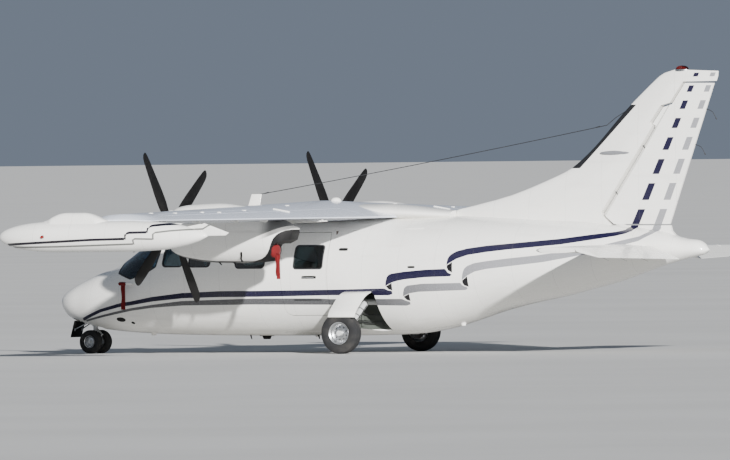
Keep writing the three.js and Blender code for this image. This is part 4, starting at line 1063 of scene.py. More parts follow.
def build_cockpit():
    """The panel with its dials, glare shield, yokes, pedals, levers and standby compass."""
    panel = bmesh.new()
    plate(panel, (3.522, -0.6, 0.702), (3.618, 0.6, 1.112), 0.008)
    plate(panel, (3.541, -0.059, 0.5005), (3.599, 0.059, 0.72))
    add("instrument_panel_face", panel, panel_grey, slot="black_paint", replaces="instrument_panel")
    shield = prism([(3.44, 1.105), (3.46, 1.125), (3.63, 1.13), (3.69, 1.1), (3.62, 1.098), (3.5, 1.1)], "y",
                   -0.58, 0.58)
    add("glare_shield", shield, bay_black)
    rings, faces = bmesh.new(), bmesh.new()
    spots = [(side * (0.12 + 0.11 * k), 1.04 - 0.11 * row, 0.043) for side in (1, -1) for k in range(4)
             for row in range(3)]
    for y, z, radius in spots:
        rod(rings, (3.523, y, z), (3.515, y, z), radius, 32)
        rod(faces, (3.5165, y, z), (3.5135, y, z), radius - 0.006, 32)
    for row in range(6):
        plate(rings, (3.513, -0.055, 0.76 + row * 0.05), (3.523, 0.055, 0.8 + row * 0.05), 0.002)
        for y in (-0.035, 0.035):
            rod(rings, (3.513, y, 0.78 + row * 0.05), (3.5, y, 0.78 + row * 0.05), 0.007, 14)
    add("panel_rings", rings, dark_trim)
    add("panel_dials", faces, dial_face)
    controls = bmesh.new()
    for y in (0.3, -0.3):
        rod(controls, (3.52, y, 0.86), (3.36, y, 0.88), 0.014, 20)
        yoke = [(3.36, y - 0.13, 0.99), (3.36, y - 0.15, 0.93), (3.36, y - 0.12, 0.87), (3.36, y, 0.86),
                (3.36, y + 0.12, 0.87), (3.36, y + 0.15, 0.93), (3.36, y + 0.13, 0.99)]
        hose(controls, yoke, 0.013, bend=6)
        for pedal in (-0.09, 0.09):
            plate(controls, (3.6, y + pedal - 0.04, 0.56), (3.612, y + pedal + 0.04, 0.67), 0.004)
            rod(controls, (3.612, y + pedal, 0.6), (3.68, y + pedal, 0.53), 0.008, 12)
    plate(controls, (3.28, -0.09, 0.5005), (3.5, 0.09, 0.7), 0.015, 3)
    for k in range(6):
        y = -0.06 + 0.024 * k
        rod(controls, (3.4, y, 0.69), (3.37, y, 0.79), 0.004, 10)
        rod(controls, (3.37, y - 0.009, 0.795), (3.37, y + 0.009, 0.795), 0.013, 16)
    add("cockpit_controls", controls, dark_trim)
    compass = bmesh.new()
    rod(compass, (3.47, 0, 1.16), (3.47, 0, 1.135), 0.012, 16)
    plate(compass, (3.435, -0.035, 1.15), (3.5, 0.035, 1.205), 0.012, 3)
    add("standby_compass", compass, bay_black)


def pillow(centre, size, tilt=0.0, fluting=0, crown=2.6):
    """A crowned cushion: pinched at its edges, full in its middle, with sewn channels across its top."""
    bm = bmesh.new()
    made = bmesh.ops.create_cube(bm, size=2)["verts"]
    bmesh.ops.subdivide_edges(bm, edges=edges_of(made), cuts=22, use_grid_fill=True)
    for vert in bm.verts:
        x, y, z = vert.co.normalized()
        flat = (abs(x) ** 6 + abs(y) ** 6) ** (crown / 6)
        share = (flat + abs(z) ** crown) ** (1 / crown)
        x, y, z = x / share, y / share, z / share
        if fluting:
            groove = math.exp(-(((x + 1) * fluting / 2 % 1 - 0.5) / 0.07) ** 2)
            z *= 1 - 0.22 * groove * (abs(z) > 0.3)
        vert.co = Vector((x * size[0] / 2, y * size[1] / 2, z * size[2] / 2))
    place = Matrix.Translation(Vector(centre)) @ Matrix.Rotation(math.radians(tilt), 4, "Y")
    bmesh.ops.transform(bm, matrix=place, verts=bm.verts)
    bmesh.ops.recalc_face_normals(bm, faces=bm.faces)
    seam = [place @ Vector((size[0] / 2 * 1.003 * signed(math.cos(a), 1 / 3),
                            size[1] / 2 * 1.003 * signed(math.sin(a), 1 / 3), 0))
            for a in (k * math.tau / 72 for k in range(72))]
    return bm, seam


def build_seat(x, y, label):
    """A seat on the frame's stand: cushion, back and headrest with piping, arms, legs and belts."""
    piping = bmesh.new()
    for part, centre, size, tilt, fluting in (
            ("cushion", (x - 0.205, y, 0.835), (0.4, 0.4, 0.11), 4, 5),
            ("back", (x - 0.522, y, 1.13), (0.53, 0.39, 0.105), 105, 6),
            ("headrest", (x - 0.615, y, 1.385), (0.14, 0.25, 0.085), 105, 0)):
        form, seam = pillow(centre, size, tilt, fluting)
        piece = as_object(f"{label}_{part}", form)
        hose(piping, seam, 0.005, 8, True)
        finished(piece, seat_cloth, slot="cabin_trim", replaces=label if part == "cushion" else (), crease=50)
    add(f"{label}_piping", piping, dark_trim)
    stand = bmesh.new()
    plate(stand, (x - 0.43, y - 0.19, 0.74), (x - 0.02, y + 0.19, 0.79), 0.012, 3)
    for side in (1, -1):
        plate(stand, (x - 0.46, y + side * 0.15 - 0.012, 0.501), (x - 0.03, y + side * 0.15 + 0.012, 0.525),
              0.003)
        for at in (-0.4, -0.1):
            rod(stand, (x + at, y + side * 0.15, 0.52), (x + at, y + side * 0.15, 0.75), 0.013, 16)
        hose(stand,
             [(x - 0.44, y + side * 0.185, 0.76), (x - 0.5, y + side * 0.185, 0.9),
              (x - 0.56, y + side * 0.185, 1.15), (x - 0.6, y + side * 0.18, 1.33)], 0.012, bend=6)
        low, high = sorted((y + side * 0.192, y + side * 0.204))
        plate(stand, (x - 0.47, low, 0.985), (x - 0.15, high, 1.02), 0.005)
    add(f"{label}_stand", stand, panel_grey)
    belts = bmesh.new()
    for side in (1, -1):
        hose(belts,
             [(x - 0.42, y + side * 0.195, 0.83), (x - 0.34, y + side * 0.15, 0.9),
              (x - 0.27, y + side * 0.06, 0.905), (x - 0.24, y + side * 0.02, 0.9)], 0.006, 8, bend=6)
    plate(belts, (x - 0.27, y - 0.025, 0.893), (x - 0.22, y + 0.025, 0.908), 0.004)
    add(f"{label}_belts", belts, dark_trim)


def build_small_parts():
    """Aerials, lights, pitot heads with covers, handles, caps and the taut aerial wire."""
    build_aerials()
    build_nose_door()
    build_fittings()
    build_pitots()
    build_aerial_wire()


def build_aerials():
    """The roof and belly aerials and the fin's beacon, a flat oval dome."""
    mast = prism([(2.205, 1.855), (2.094, 2.169), (1.94, 2.169), (2.0, 1.855)], "y", -0.0095, 0.0095)
    rounded(mast, [e for e in mast.edges if share_along(e, "y") < 0.5], 0.007, 3)
    plate(mast, (1.97, -0.035, 1.857), (2.24, 0.035, 1.866), 0.004)
    add("roof_aerial_blade", mast, plain_paint, replaces="roof_aerial")
    fin_like = prism([(1.958, 0.25), (1.93, 0.187), (1.832, 0.187), (1.802, 0.25)], "y", -0.0085, 0.0085)
    plate(fin_like, (1.78, -0.03, 0.229), (1.98, 0.03, 0.238), 0.003)
    add("belly_aerial_blade", fin_like, blade_black, slot="black_paint", replaces="belly_aerial")
    oval = Matrix.Translation((-4.52, 0, 3.79)) @ Matrix.Diagonal((1.75, 1, 1, 1))
    lamp = turned([(0, 0), (0.054, 0), (0.053, 0.018), (0.045, 0.038), (0.028, 0.052), (0, 0.057)], "z",
                  (0, 0, 0), 40)
    base = turned([(0, -0.016), (0.059, -0.016), (0.058, 0.004), (0, 0.004)], "z", (0, 0, 0), 40)
    for form in (lamp, base):
        bmesh.ops.transform(form, matrix=oval, verts=form.verts)
    add("beacon_glass", lamp, red_glass, slot="red_lens", replaces="beacon")
    add("beacon_base", base, leg_metal)


def build_nose_door():
    # The front door is given the blades' black as painted shade: the black stands in for the shade it hangs
    # in under the nose
    flap = prism([(4.803, 0.447), (4.815, 0.455), (4.878, 0.226), (4.868, 0.223)], "y", -0.149, 0.149)
    rounded(flap, flap.edges, 0.003, 2)
    add("nose_door_painted_shade", flap, blade_black, slot="black_paint", replaces="nose_front_door")
    link = bmesh.new()
    for y in (-0.1, 0.1):
        rod(link, (4.84, y, 0.33), (4.62, y * 0.4, 0.44), 0.008, 14)
        plate(link, (4.826, y - 0.012, 0.31), (4.85, y + 0.012, 0.35), 0.004)
    rod(link, (4.62, -0.05, 0.44), (4.62, 0.05, 0.44), 0.012, 16)
    add("nose_door_links", link, leg_metal)


def build_fittings():
    """Fuel caps, domes, panels, vents and drains, white ones and dark ones, and the door's handle."""
    white = bmesh.new()
    dome = turned([(0, 0.115), (0.03, 0.112), (0.055, 0.1), (0.073, 0.075), (0.079, 0.04), (0.08, 0.0),
                   (0, 0.0)], "z", (0.79, 0, 2.0), 40)
    poured(dome, white)
    for x, y, z in ((3.58, 0.12, 0.268), (-1.209, 0.1, 0.385), (1.2, -0.2, 0.236)):
        rod(white, (x, y, z + 0.02), (x, y, z - 0.022), 0.04, 24, 0.03)
    caps = ((0.9, 5.0), (0.755, 4.6), (0.674, 4.0), (0.58, 3.7), (0.58, 3.0), (0.71, 1.55))
    for x, y in caps:
        for side in (1, -1):
            top = wing_skin(y, x)
            rod(white, (x, side * y, top - 0.004), (x, side * y, top + 0.004), 0.034, 24, 0.031)
    for side in (1, -1):
        strip = [(x, side * 2.31, wing_skin(2.31, x) + 0.003) for x in (0.505, 0.42, 0.34, 0.258)]
        hose(white, strip, 0.011, 8, bend=6)

    dark = bmesh.new()
    for x, z, long, high in ((3.872, 0.47, 0.078, 0.032), (3.7, 0.424, 0.03, 0.018)):
        for side in (1, -1):
            poured(blister(x, z, long, high, side, ((1.0, -0.003), (0.96, 0.0012), (0.02, 0.0012))), dark)
    for x, z, long, high in ((0.785, 1.035, 0.115, 0.021), (0.29, 1.41, 0.07, 0.02),
                             (-0.781, 1.165, 0.055, 0.015)):
        poured(blister(x, z, long, high, 1, ((1.0, -0.003), (0.97, 0.0012), (0.02, 0.0012)), 5), dark)
    poured(blister(-0.677, 1.69, 0.15, 0.012, 1, ((1.0, -0.003), (0.97, 0.004), (0.7, 0.009), (0.02, 0.009)),
                   5), white)
    for x in (1.02, 0.96, 2.07):
        rod(dark, (x, 0.12, 0.25), (x - 0.02, 0.12, 0.19), 0.011, 14, 0.008)
    add("dark_fittings", dark, blade_black)
    add("white_fittings", white, plain_paint)

    handle = bmesh.new()
    for x in (0.72, 0.86):
        rod(handle, skin_spot(x, 1.03, 1, -0.01), skin_spot(x, 1.03, 1, 0.014), 0.007, 14)
    rod(handle, skin_spot(0.7, 1.03, 1, 0.014), skin_spot(0.88, 1.03, 1, 0.014), 0.008, 16)
    add("door_handle", handle, leg_metal, "cabin_door")


def build_pitots():
    """A pitot head on each side of the nose, under a red cover with its ribbon."""
    for side, label in SIDES:
        root = skin_spot(3.6, 0.955, side, -0.02)
        elbow = skin_spot(3.585, 0.95, side, 0.075)
        head = bmesh.new()
        hose(head,
             [root, skin_spot(3.57, 0.953, side, 0.05), elbow, elbow + Vector((0.05, 0, 0)),
              elbow + Vector((0.1, 0, 0))], 0.014, bend=8)
        add(f"pitot_{label}", head, plain_paint)
        sleeve = turned([(0, 0.0), (0.017, 0.0), (0.022, 0.012), (0.027, 0.06), (0.024, 0.1), (0.014, 0.113),
                         (0, 0.115)], "x", elbow + Vector((0.055, 0, 0)), 32)
        cover = add(f"pitot_{label}_cover", sleeve, red_cloth)
        ribbon(f"pitot_{label}_ribbon", elbow + Vector((0.1, 0, -0.015)), 0.06, 0.34, (0.012, 0.01),
               0.3)


def build_aerial_wire():
    """The taut wire from the roof aerial to the fin, with an insulator near each end."""
    wire = bmesh.new()
    mast_end, joint, fin_end = (
        Vector((x, 0, z)) for x, z in ((1.97, 2.166), (-3.371, 3.054), (-3.655, 3.238)))
    line = [mast_end.lerp(joint, t) - Vector((0, 0, 0.08 * t * (1 - t))) for t in (k / 24 for k in range(25))]
    hose(wire, [*line, joint.lerp(fin_end, 0.5) + Vector((0, 0, 0.012)), fin_end], 0.005, 8)
    for share in (0.02, 0.975):
        spot = line[0].lerp(line[-1], share)
        rod(wire, spot - Vector((0.03, 0, -0.006)), spot + Vector((0.03, 0, -0.006)), 0.009, 12, 0.007)
    add("aerial_wire", wire, bay_black)


def skin_patch(name, form, outer, inner, finish, front, rear, body="airframe", slot=None, replaces=()):
    """A piece of a thin skin inside a form: panes, seals and hatches that follow the fuselage."""
    piece = as_object(name, hull_form(front, rear, outer, 0.03))
    carved(piece, less(hull_form(front + 0.02, rear - 0.02, inner, 0.03)), within(form))
    return finished(piece, finish, body, slot, replaces)


def ring_form(outer, inner):
    """One form with another taken out of it."""
    return combined(outer, less(inner))


def build_windows():
    label = dict(SIDES)
    panes = [(name if len(sides) == 1 else f"{name}_{label[side]}", shape, side, "airframe")
             for name, *shape, sides in WINDOWS for side in sides]
    panes.append(("door_window", DOOR_WINDOW, 1, "cabin_door"))
    for node, shape, side, body in panes:
        span = (shape[0] + 0.06, shape[1] - 0.06)
        skin_patch(f"{node}_pane", window_form(*shape, side, -SEAM), 0.0, 0.012, clear_glass, *span, body,
                   "window_glass", node)
        skin_patch(f"{node}_seal",
                   ring_form(window_form(*shape, side, 0.014), window_form(*shape, side, -0.006)), -0.0025,
                   0.004, seal, *span, body)
    for side, label in SIDES:
        node = f"windscreen_{label}"
        skin_patch(f"{node}_pane", screen_form(side, 0.0224, 0.0015), 0.0, 0.012, screen_glass, 4.13, 3.12,
                   slot="window_glass", replaces=node)
        skin_patch(f"{node}_seal", ring_form(screen_form(side, 0.014, -0.012), screen_form(side, 0.03, 0.01)),
                   -0.0025, 0.004, seal, 4.14, 3.1)


def build_wing():
    cuts = []
    span = (SPOILER["inner"], SPOILER["outer"], SPOILER["front"], SPOILER["back"])
    for side, label in SIDES:
        flap = as_object(f"flap_{label}_skin", wing_form())
        carved(flap, within(wing_strip(side, FLAP["inner"], FLAP["outer"], FLAP["share"], 1.2)))
        finished(flap, sky_tinted_wing_paint, replaces=f"flap_{label}")
        cuts.append(less(wing_strip(side, FLAP["inner"], FLAP["outer"], FLAP["share"], 1.2, FLAP["gap"])))
        panel = as_object(f"spoiler_{label}_skin", wing_form())
        carved(panel, within(wing_strip(side, *span)), less(lowered_wing(SPOILER["thick"])))
        finished(panel, sky_tinted_wing_paint, f"spoiler_{label}", "white_paint", f"spoiler_{label}")
        ribs = bmesh.new()
        for y in (SPOILER["inner"] + 0.15, (SPOILER["inner"] + SPOILER["outer"]) / 2,
                  SPOILER["outer"] - 0.15):
            poured(wing_strip(side, y - 0.01, y + 0.01, SPOILER["front"] + 0.02, SPOILER["back"] - 0.01),
                   ribs)
        ribs = combined(ribs, within(lowered_wing(SPOILER["thick"] + 0.0004)))
        pocket = combined(wing_strip(side, *span, SPOILER["gap"]),
                          less(lowered_wing(SPOILER["thick"] + SPOILER["gap"])), less(ribs))
        cuts.append(less(pocket))
        track = prism(FLAP_TRACK["side"], "y",
                      *on_side(side, FLAP_TRACK["y"] - FLAP_TRACK["half"],
                               FLAP_TRACK["y"] + FLAP_TRACK["half"]))
        rounded(track, track.edges, 0.006, 3)
        for x, z in ((0.075, 1.799), (0.033, 1.802), (-0.01, 1.806), (-0.052, 1.811)):
            rod(track, (x, side * (FLAP_TRACK["y"] + 0.02), z), (x, side * (FLAP_TRACK["y"] + 0.034), z),
                0.013, 12, 0.011)
        add(f"flap_track_{label}", track, plain_paint)
        brackets = bmesh.new()
        for y in (2.78, 3.47, 4.4, 5.2):
            x = chord_x(y, FLAP["share"])
            z = wing_skin(y, x, -1)
            arm = [(x + 0.07, z + 0.006), (x + 0.05, z - 0.016), (x - 0.02, z - 0.03), (x - 0.05, z - 0.02),
                   (x - 0.06, z + 0.008)]
            poured(prism(arm, "y", side * y - 0.009, side * y + 0.009), brackets)
            rod(brackets, (x - 0.02, side * y - 0.016, z - 0.014), (x - 0.02, side * y + 0.016, z - 0.014),
                0.009, 16)
        add(f"flap_brackets_{label}", brackets, plain_paint)
    wing = carved(as_object("wing_skin", wing_form()), *cuts)
    finished(wing, sky_tinted_wing_paint, replaces="wing")


# Tip tanks, nacelles and propellers
TANK_TAIL = Curve(((0.76, 0.206), (0.25, 0.18), (-0.06, 0.128), (-0.28, 0.06), (-0.39, 0.0)))
HUMP = Curve(((2.11, 0.002), (2.03, 0.03), (1.92, 0.08), (1.83, 0.11), (1.74, 0.119), (1.48, 0.119),
              (1.39, 0.106), (1.3, 0.076), (1.2, 0.034), (1.1, 0.002)))
STRAKE = ((0.3, 1.7), (-0.33, 1.806), (-0.7, 1.676), (-0.65, 1.64), (-0.2, 1.636))
SPINNER = Curve(((0.38, 0.0), (0.36, 0.05), (0.31, 0.108), (0.2, 0.182), (0.09, 0.223), (-0.02, 0.24),
                 (-0.062, 0.236)))
# Blade sections from the tip in: distance out, chord, thickness, pitch in degrees
BLADE = Curve(((1.245, 0.062, 0.006, -8), (1.222, 0.122, 0.009, -8), (1.15, 0.16, 0.012, -7),
               (0.9, 0.184, 0.02, -3), (0.64, 0.186, 0.03, 4), (0.42, 0.168, 0.046, 11),
               (0.27, 0.12, 0.076, 17), (0.12, 0.09, 0.088, 17)))


def tank_radius(x):
    """The tip tank's radius at x: a blunt nose, an even body and a tail that tapers to a point."""
    shoulder = TANK["nose"] - TANK["round"]
    if x > shoulder:
        share = (x - shoulder) / TANK["round"]
        return TANK["radius"] * math.sqrt(max(0.0, 1 - share ** 2.1))
    return TANK["radius"] if x > TANK["taper"] else TANK_TAIL(x)[1]


def build_tanks():
    for side, label in SIDES:
        y, z = side * TANK["y"], TANK["z"]
        nose_xs = [TANK["nose"] - TANK["round"] * (1 - math.sin(k * math.pi / 48)) for k in range(24, -1, -1)]
        xs = [*nose_xs, *spread(1.8, TANK["taper"], 8), *spread(0.7, TANK["tail"], 20)]
        tank = as_object(f"tip_tank_{label}_skin",
                         turned([(tank_radius(x), x) for x in xs], "x", (0, y, z), 72))
        finished(tank, tank_paint, replaces=f"tip_tank_{label}")

        def hump_ring(x, turn):
            high = HUMP(x)[1]
            out, up = signed(math.sin(turn), 0.7), signed(math.cos(turn), 0.7)
            half = 0.116 * min(1.0, 0.45 + high * 9)
            return Vector((x, y + half * out, z + 0.13 + (0.07 + high) * up))
        hump = as_object(f"tank_hump_{label}", loft(hump_ring, spread(2.11, 1.1, 41), 48))
        finished(hump, tank_paint, slot="white_paint")
        strake = prism(STRAKE, "y", y - 0.008, y + 0.008)
        rounded(strake, strake.edges, 0.004, 2)
        add(f"tank_strake_{label}", strake, tank_paint, slot="white_paint")
        fittings = bmesh.new()
        rod(fittings, (1.93, y, z + 0.198), (1.93, y, z + 0.21), 0.045, 32, 0.042)
        rod(fittings, (0.74, y, z - 0.199), (0.74, y, z - 0.222), 0.016, 16, 0.012)
        add(f"tank_fittings_{label}", fittings, leg_metal)
        lamp = turned([(0, 0.0), (0.022, 0.0), (0.024, 0.012), (0.018, 0.036), (0, 0.044)], "y",
                      (2.02, y + side * 0.193, z), 32)
        add(f"wing_light_{label}", lamp, red_glass if side > 0 else green_glass)


def cowl_form(y, inset=0.0):
    return loft(oval_ring(cowl, y, inset), spread(COWL[0][0], COWL[-1][0], 60), 96)


def cowl_spot(y):
    """A point of the nacelle's skin at x and z, for blisters and vents on it."""
    def spot(x, z, side, out=0.0):
        _, bottom, widest, top, half = cowl(x)
        height = top - widest if z > widest else widest - bottom
        rise = max(-0.99, min(0.99, (z - widest) / height))
        return Vector((x, y + side * (half * math.sqrt(1 - rise * rise) + out), z))
    return spot


def intake_place(y, grow=0.0):
    def place(section, turn):
        x, z, high, wide = section
        return Vector((x, y + (wide + grow) * math.sin(turn), z + (high + grow) * math.cos(turn)))
    return place


def bore_spot(out, side):
    """A point on the exhaust's middle line, so far from its inside end."""
    inside, mouth = Vector(EXHAUST["inside"]), Vector(EXHAUST["mouth"])
    spot = inside + (mouth - inside).normalized() * out
    return Vector((spot.x, side * spot.y, spot.z))


def build_exhaust_cover(label, side):
    """A red quilted plug in the exhaust and the ribbon that hangs from it."""
    centre = bore_spot(0.332, side)
    way = (bore_spot(1, side) - bore_spot(0, side)).normalized()
    facing = way.to_track_quat("Z", "Y").to_matrix().to_4x4()

    def crown(row, turn):
        radius, out = row
        ripple = 1 + 0.02 * math.cos(12 * turn) * (radius > 0.06)
        return Matrix.Translation(centre) @ facing @ Vector((radius * ripple * math.cos(turn),
                                                             radius * ripple * math.sin(turn), out))
    rows = ((0.02, -0.05), (0.093, -0.05), (0.096, -0.03), (0.0965, 0.0), (0.094, 0.014), (0.086, 0.026),
            (0.07, 0.036), (0.05, 0.042), (0.03, 0.045), (0.012, 0.046))
    plug = add(f"exhaust_{label}_cover", loft(crown, rows, 96), red_cloth)
    loop = hose(bmesh.new(),
                [centre + way * out + Vector((0, aside, down))
                 for out, aside, down in ((0.036, 0.03, -0.02), (0.075, 0.012, -0.03), (0.075, -0.012, -0.03),
                                          (0.036, -0.03, -0.02))], 0.005, bend=8)
    add(f"exhaust_{label}_handle", loop, red_cloth)
    start = centre + way * 0.062 + Vector((0, 0, -0.03))
    for k, (length, turn) in enumerate(((0.34, 0.5), (0.3, -0.3))):
        aside = Vector((0.014 * k, side * 0.006 * k, 0))
        ribbon(f"exhaust_{label}_ribbon_{k + 1}", start + aside, 0.05, length, (0.012 + 0.01 * k, 0.01),
               turn)


def ribbon(name, start, width, length, drift, turn=0.0):
    """A strip of cloth that hangs down from a point, with a soft twist and a few waves."""
    steps = 48
    bm = bmesh.new()
    middle, before = Vector(start), None
    for k in range(steps + 1):
        t = k / steps
        lean = Vector((drift[0] * math.cos(9 * t) * 4, drift[1] * math.cos(7 * t + 1) * 4, -1)).normalized()
        if k:
            middle = middle + lean * (length / steps)
        twist = turn + 0.8 * math.sin(3.2 * t)
        half = Vector((math.cos(twist), math.sin(twist), 0)) * (width / 2)
        row = [bm.verts.new(middle + half * s) for s in (-1, -0.5, 0, 0.5, 1)]
        if before:
            for a, b, c, d in zip(before, before[1:], row[1:], row):
                bm.faces.new((a, b, c, d))
        before = row
    piece = as_object(name, faced(bm))
    thread = piece.modifiers.new("cloth", "SOLIDIFY")
    thread.thickness = 0.0012
    thread.offset = 0
    finished(settled(piece), red_cloth, crease=60)


def build_nacelles():
    for side, label in SIDES:
        y = side * PROP["y"]
        edges = (y - 0.5, y + 0.5)
        behind = prism([*COWL_REAR, (-0.3, 1.76), (-0.3, 1.0), (0.85, 1.0)], "y", *edges)
        hollow = [(a, side * b) for a, b in EXHAUST["hollow"]]
        skin = carved(as_object(f"nacelle_{label}_skin", cowl_form(y)), less(behind),
                      less(prism(hollow, "z", 1.0, EXHAUST["hollow_top"])),
                      less(loft(intake_place(y), INTAKE, 48)))
        finished(skin, cowl_paint_with_shade, replaces=f"nacelle_{label}")

        bore = bmesh.new()
        rod(bore, bore_spot(0, side), bore_spot(0.9, side), EXHAUST["radius"], 64)
        rear = prism([*((x - SEAM, z - SEAM) for x, z in COWL_REAR), *OUTLET_REAR], "y", *edges)
        outlet = carved(as_object(f"exhaust_{label}_fairing", cowl_form(y, EXHAUST["inset"])), within(rear),
                        less(prism(hollow, "z", 1.0, EXHAUST["hollow_top"])), less(bore))
        finished(outlet, soot_black, slot="exhaust_steel", replaces=f"exhaust_{label}")
        ring = turned([(0.1035, 0.0), (0.112, 0.0), (0.113, 0.1), (0.1085, 0.104), (0.1035, 0.1),
                       (0.1035, 0.0)], "x", (0, 0, 0), 64)
        way = bore_spot(1, side) - bore_spot(0, side)
        bmesh.ops.transform(ring,
                            matrix=Matrix.Translation(bore_spot(0.25, side))
                            @ Vector((1, 0, 0)).rotation_difference(way).to_matrix().to_4x4(),
                            verts=ring.verts)
        add(f"exhaust_{label}_pipe", ring, soot_black, slot="exhaust_steel")

        lip = hose(bmesh.new(),
                   [intake_place(y, 0.005)((2.0105, 1.446, 0.036, 0.118), k * math.tau / 64)
                    for k in range(64)], 0.006, 12, True)
        add(f"intake_{label}_lip", lip, leg_metal)
        # The screen's black between its wires is painted shade for the duct behind it
        screen = loft(intake_place(y, -0.001), ((1.99, 1.446, 0.034, 0.112), (1.985, 1.446, 0.034, 0.112)),
                      48)
        add(f"intake_{label}_screen", screen, mesh_over_painted_shade)
        shaft = bmesh.new()
        rod(shaft, (2.0, y, PROP["z"]), (2.058, y, PROP["z"]), 0.059, 48)
        add(f"shaft_{label}", shaft, leg_metal)

        fittings = bmesh.new()
        spot = cowl_spot(y)
        for way in (1, -1):
            reach = y + way * 0.245
            vent = smooth([Vector((0.85, reach, 1.268)), Vector((0.872, reach, 1.3)),
                           spot(0.884, 1.345, way, 0.012), spot(0.868, 1.392, way, 0.01)], 6)
            hose(fittings, vent, 0.0125)
        for x in (1.1, 1.32):
            rod(fittings, (x, y + 0.05, 1.262), (x - 0.04, y + 0.05, 1.225), 0.009, 12)
        add(f"nacelle_{label}_vents", fittings, blade_black)
        bump = blister(1.075, 1.655, 0.036, 0.022, side,
                       ((1.0, -0.01), (0.98, 0.004), (0.8, 0.016), (0.4, 0.021), (0.02, 0.022)), 2.4, spot)
        poured(blister(1.62, 1.78, 0.05, 0.018, side,
                       ((1.0, -0.01), (0.98, 0.003), (0.6, 0.014), (0.02, 0.016)), 2, spot), bump)
        add(f"nacelle_{label}_scoops", bump, plain_paint)
        build_exhaust_cover(label, side)


def blade_form():
    """One blade standing up from the hub's centre."""
    def place(out, turn):
        _, chord, thick, pitch = BLADE(out)
        along = chord / 2 * math.cos(turn)
        deep = thick / 2 * math.sin(turn) * (1 + 0.35 * math.cos(turn))
        angle = math.radians(pitch)
        return Vector((along * math.sin(angle) + deep * math.cos(angle),
                       along * math.cos(angle) - deep * math.sin(angle), out))
    return loft(place, [*spread(1.245, 1.12, 7), *spread(1.1, 0.12, 26)], 28)


def build_propellers():
    for side, label in SIDES:
        body = f"propeller_{label}"
        centre = Vector((PROP["x"], side * PROP["y"], PROP["z"]))
        outline = [(0.0, -0.062), (0.225, -0.062), (0.236, -0.056)] + [
            (SPINNER(x)[1], x) for x in spread(-0.02, 0.38, 22)]
        spinner = as_object(f"spinner_{label}_skin", turned(outline, "x", centre, 72))
        hub_space = bmesh.new()
        rod(hub_space, centre + Vector((-0.08, 0, 0)), centre + Vector((0.09, 0, 0)), 0.15, 48)
        carved(spinner, less(hub_space))
        blades = turned([(0, -0.012), (0.0606, -0.012), (0.0606, -0.058), (0.148, -0.058), (0.148, 0.088),
                         (0, 0.088)], "x", centre, 48)
        cuffs = bmesh.new()
        for k in range(PROP["blades"]):
            blade = blade_form()
            turn = Matrix.Translation(centre) @ Matrix.Rotation(
                math.radians(-PROP["lead_angle"] - 90 * k), 4, "X")
            bmesh.ops.transform(blade, matrix=turn, verts=blade.verts)
            poured(blade, blades)
            hole = bmesh.new()
            rod(hole, centre, turn @ Vector((0, 0, 0.3)), 0.066, 32)
            carved(spinner, less(hole))
            rod(cuffs, turn @ Vector((0, 0, 0.16)), turn @ Vector((0, 0, 0.225)), 0.058, 32, 0.05)
        finished(spinner, spinner_paint, body, "white_paint", f"spinner_{label}")
        add(f"blades_{label}", blades, blade_black, body, "black_paint", f"propeller_blades_{label}")
        add(f"blade_cuffs_{label}", cuffs, dark_metal, body)


# Tail
FIN_OUTLINE = (
    (-1.06, 1.72), (-1.06, 1.921), (-1.45, 2.01), (-1.845, 2.102), (-2.15, 2.2), (-2.43, 2.304),
    (-2.841, 2.483), (-3.744, 3.327), (-4.128, 3.665), (-4.21, 3.726), (-4.31, 3.772), (-4.42, 3.795),
    (-5.065, 3.767), (-5.05, 3.634), (-4.552, 3.63), (-4.352, 3.348), (-4.215, 3.312), (-4.04, 3.072),
    (-4.098, 3.045), (-3.298, 1.865), (-3.47, 1.704), (-4.33, 1.698), (-4.346, 1.625), (-4.4, 1.568),
    (-4.47, 1.538), (-4.58, 1.518), (-4.58, 1.46), (-3.44, 1.5))
RUDDER_OUTLINE = (
    (-3.325, 1.865), (-3.497, 1.722), (-4.316, 1.716), (-5.005, 3.606), (-4.58, 3.612), (-4.385, 3.328),
    (-4.245, 3.29), (-4.078, 3.064), (-4.126, 3.04))
FIN_LEAD = Curve(((3.795, -4.42), (3.772, -4.31), (3.726, -4.21), (3.665, -4.128), (3.327, -3.744),
                  (2.483, -2.841), (2.304, -2.43), (2.2, -2.15), (2.102, -1.845), (2.01, -1.45),
                  (1.921, -1.06), (1.6, -1.06)))
TRAIL = {"x": -4.316, "z": 1.711, "rake": 0.3647, "foot": 1.6}


def fin_trail(z):
    """The rudder's rear edge, and below it the fillet that runs back onto the tail cone."""
    return TRAIL["x"] - max(0.0, z - TRAIL["z"]) * TRAIL["rake"] - max(0.0, TRAIL["z"] - z) * TRAIL["foot"]


def fin_half(z):
    return 0.112 - 0.068 * (z - 1.7) / 2.1


def fin_form(slim=0.0):
    """The fin and rudder as one form: round in front, fullest a third back, thin behind."""
    def place(z, turn):
        lead, trail = FIN_LEAD(z)[1] + 0.002, fin_trail(z) - 0.02
        s = (1 + math.cos(turn)) / 2
        share = min(1.0, (s / 0.32) ** 0.55) if s < 0.32 else 1 - 0.86 * ((s - 0.32) / 0.68) ** 1.6
        return Vector((lead + (trail - lead) * s, flank(turn) * ((fin_half(z) - slim) * share + 0.001), z))
    return loft(place, [*spread(3.84, 3.66, 5), *spread(3.56, 1.76, 31), *spread(1.711, 1.44, 8)], 56)


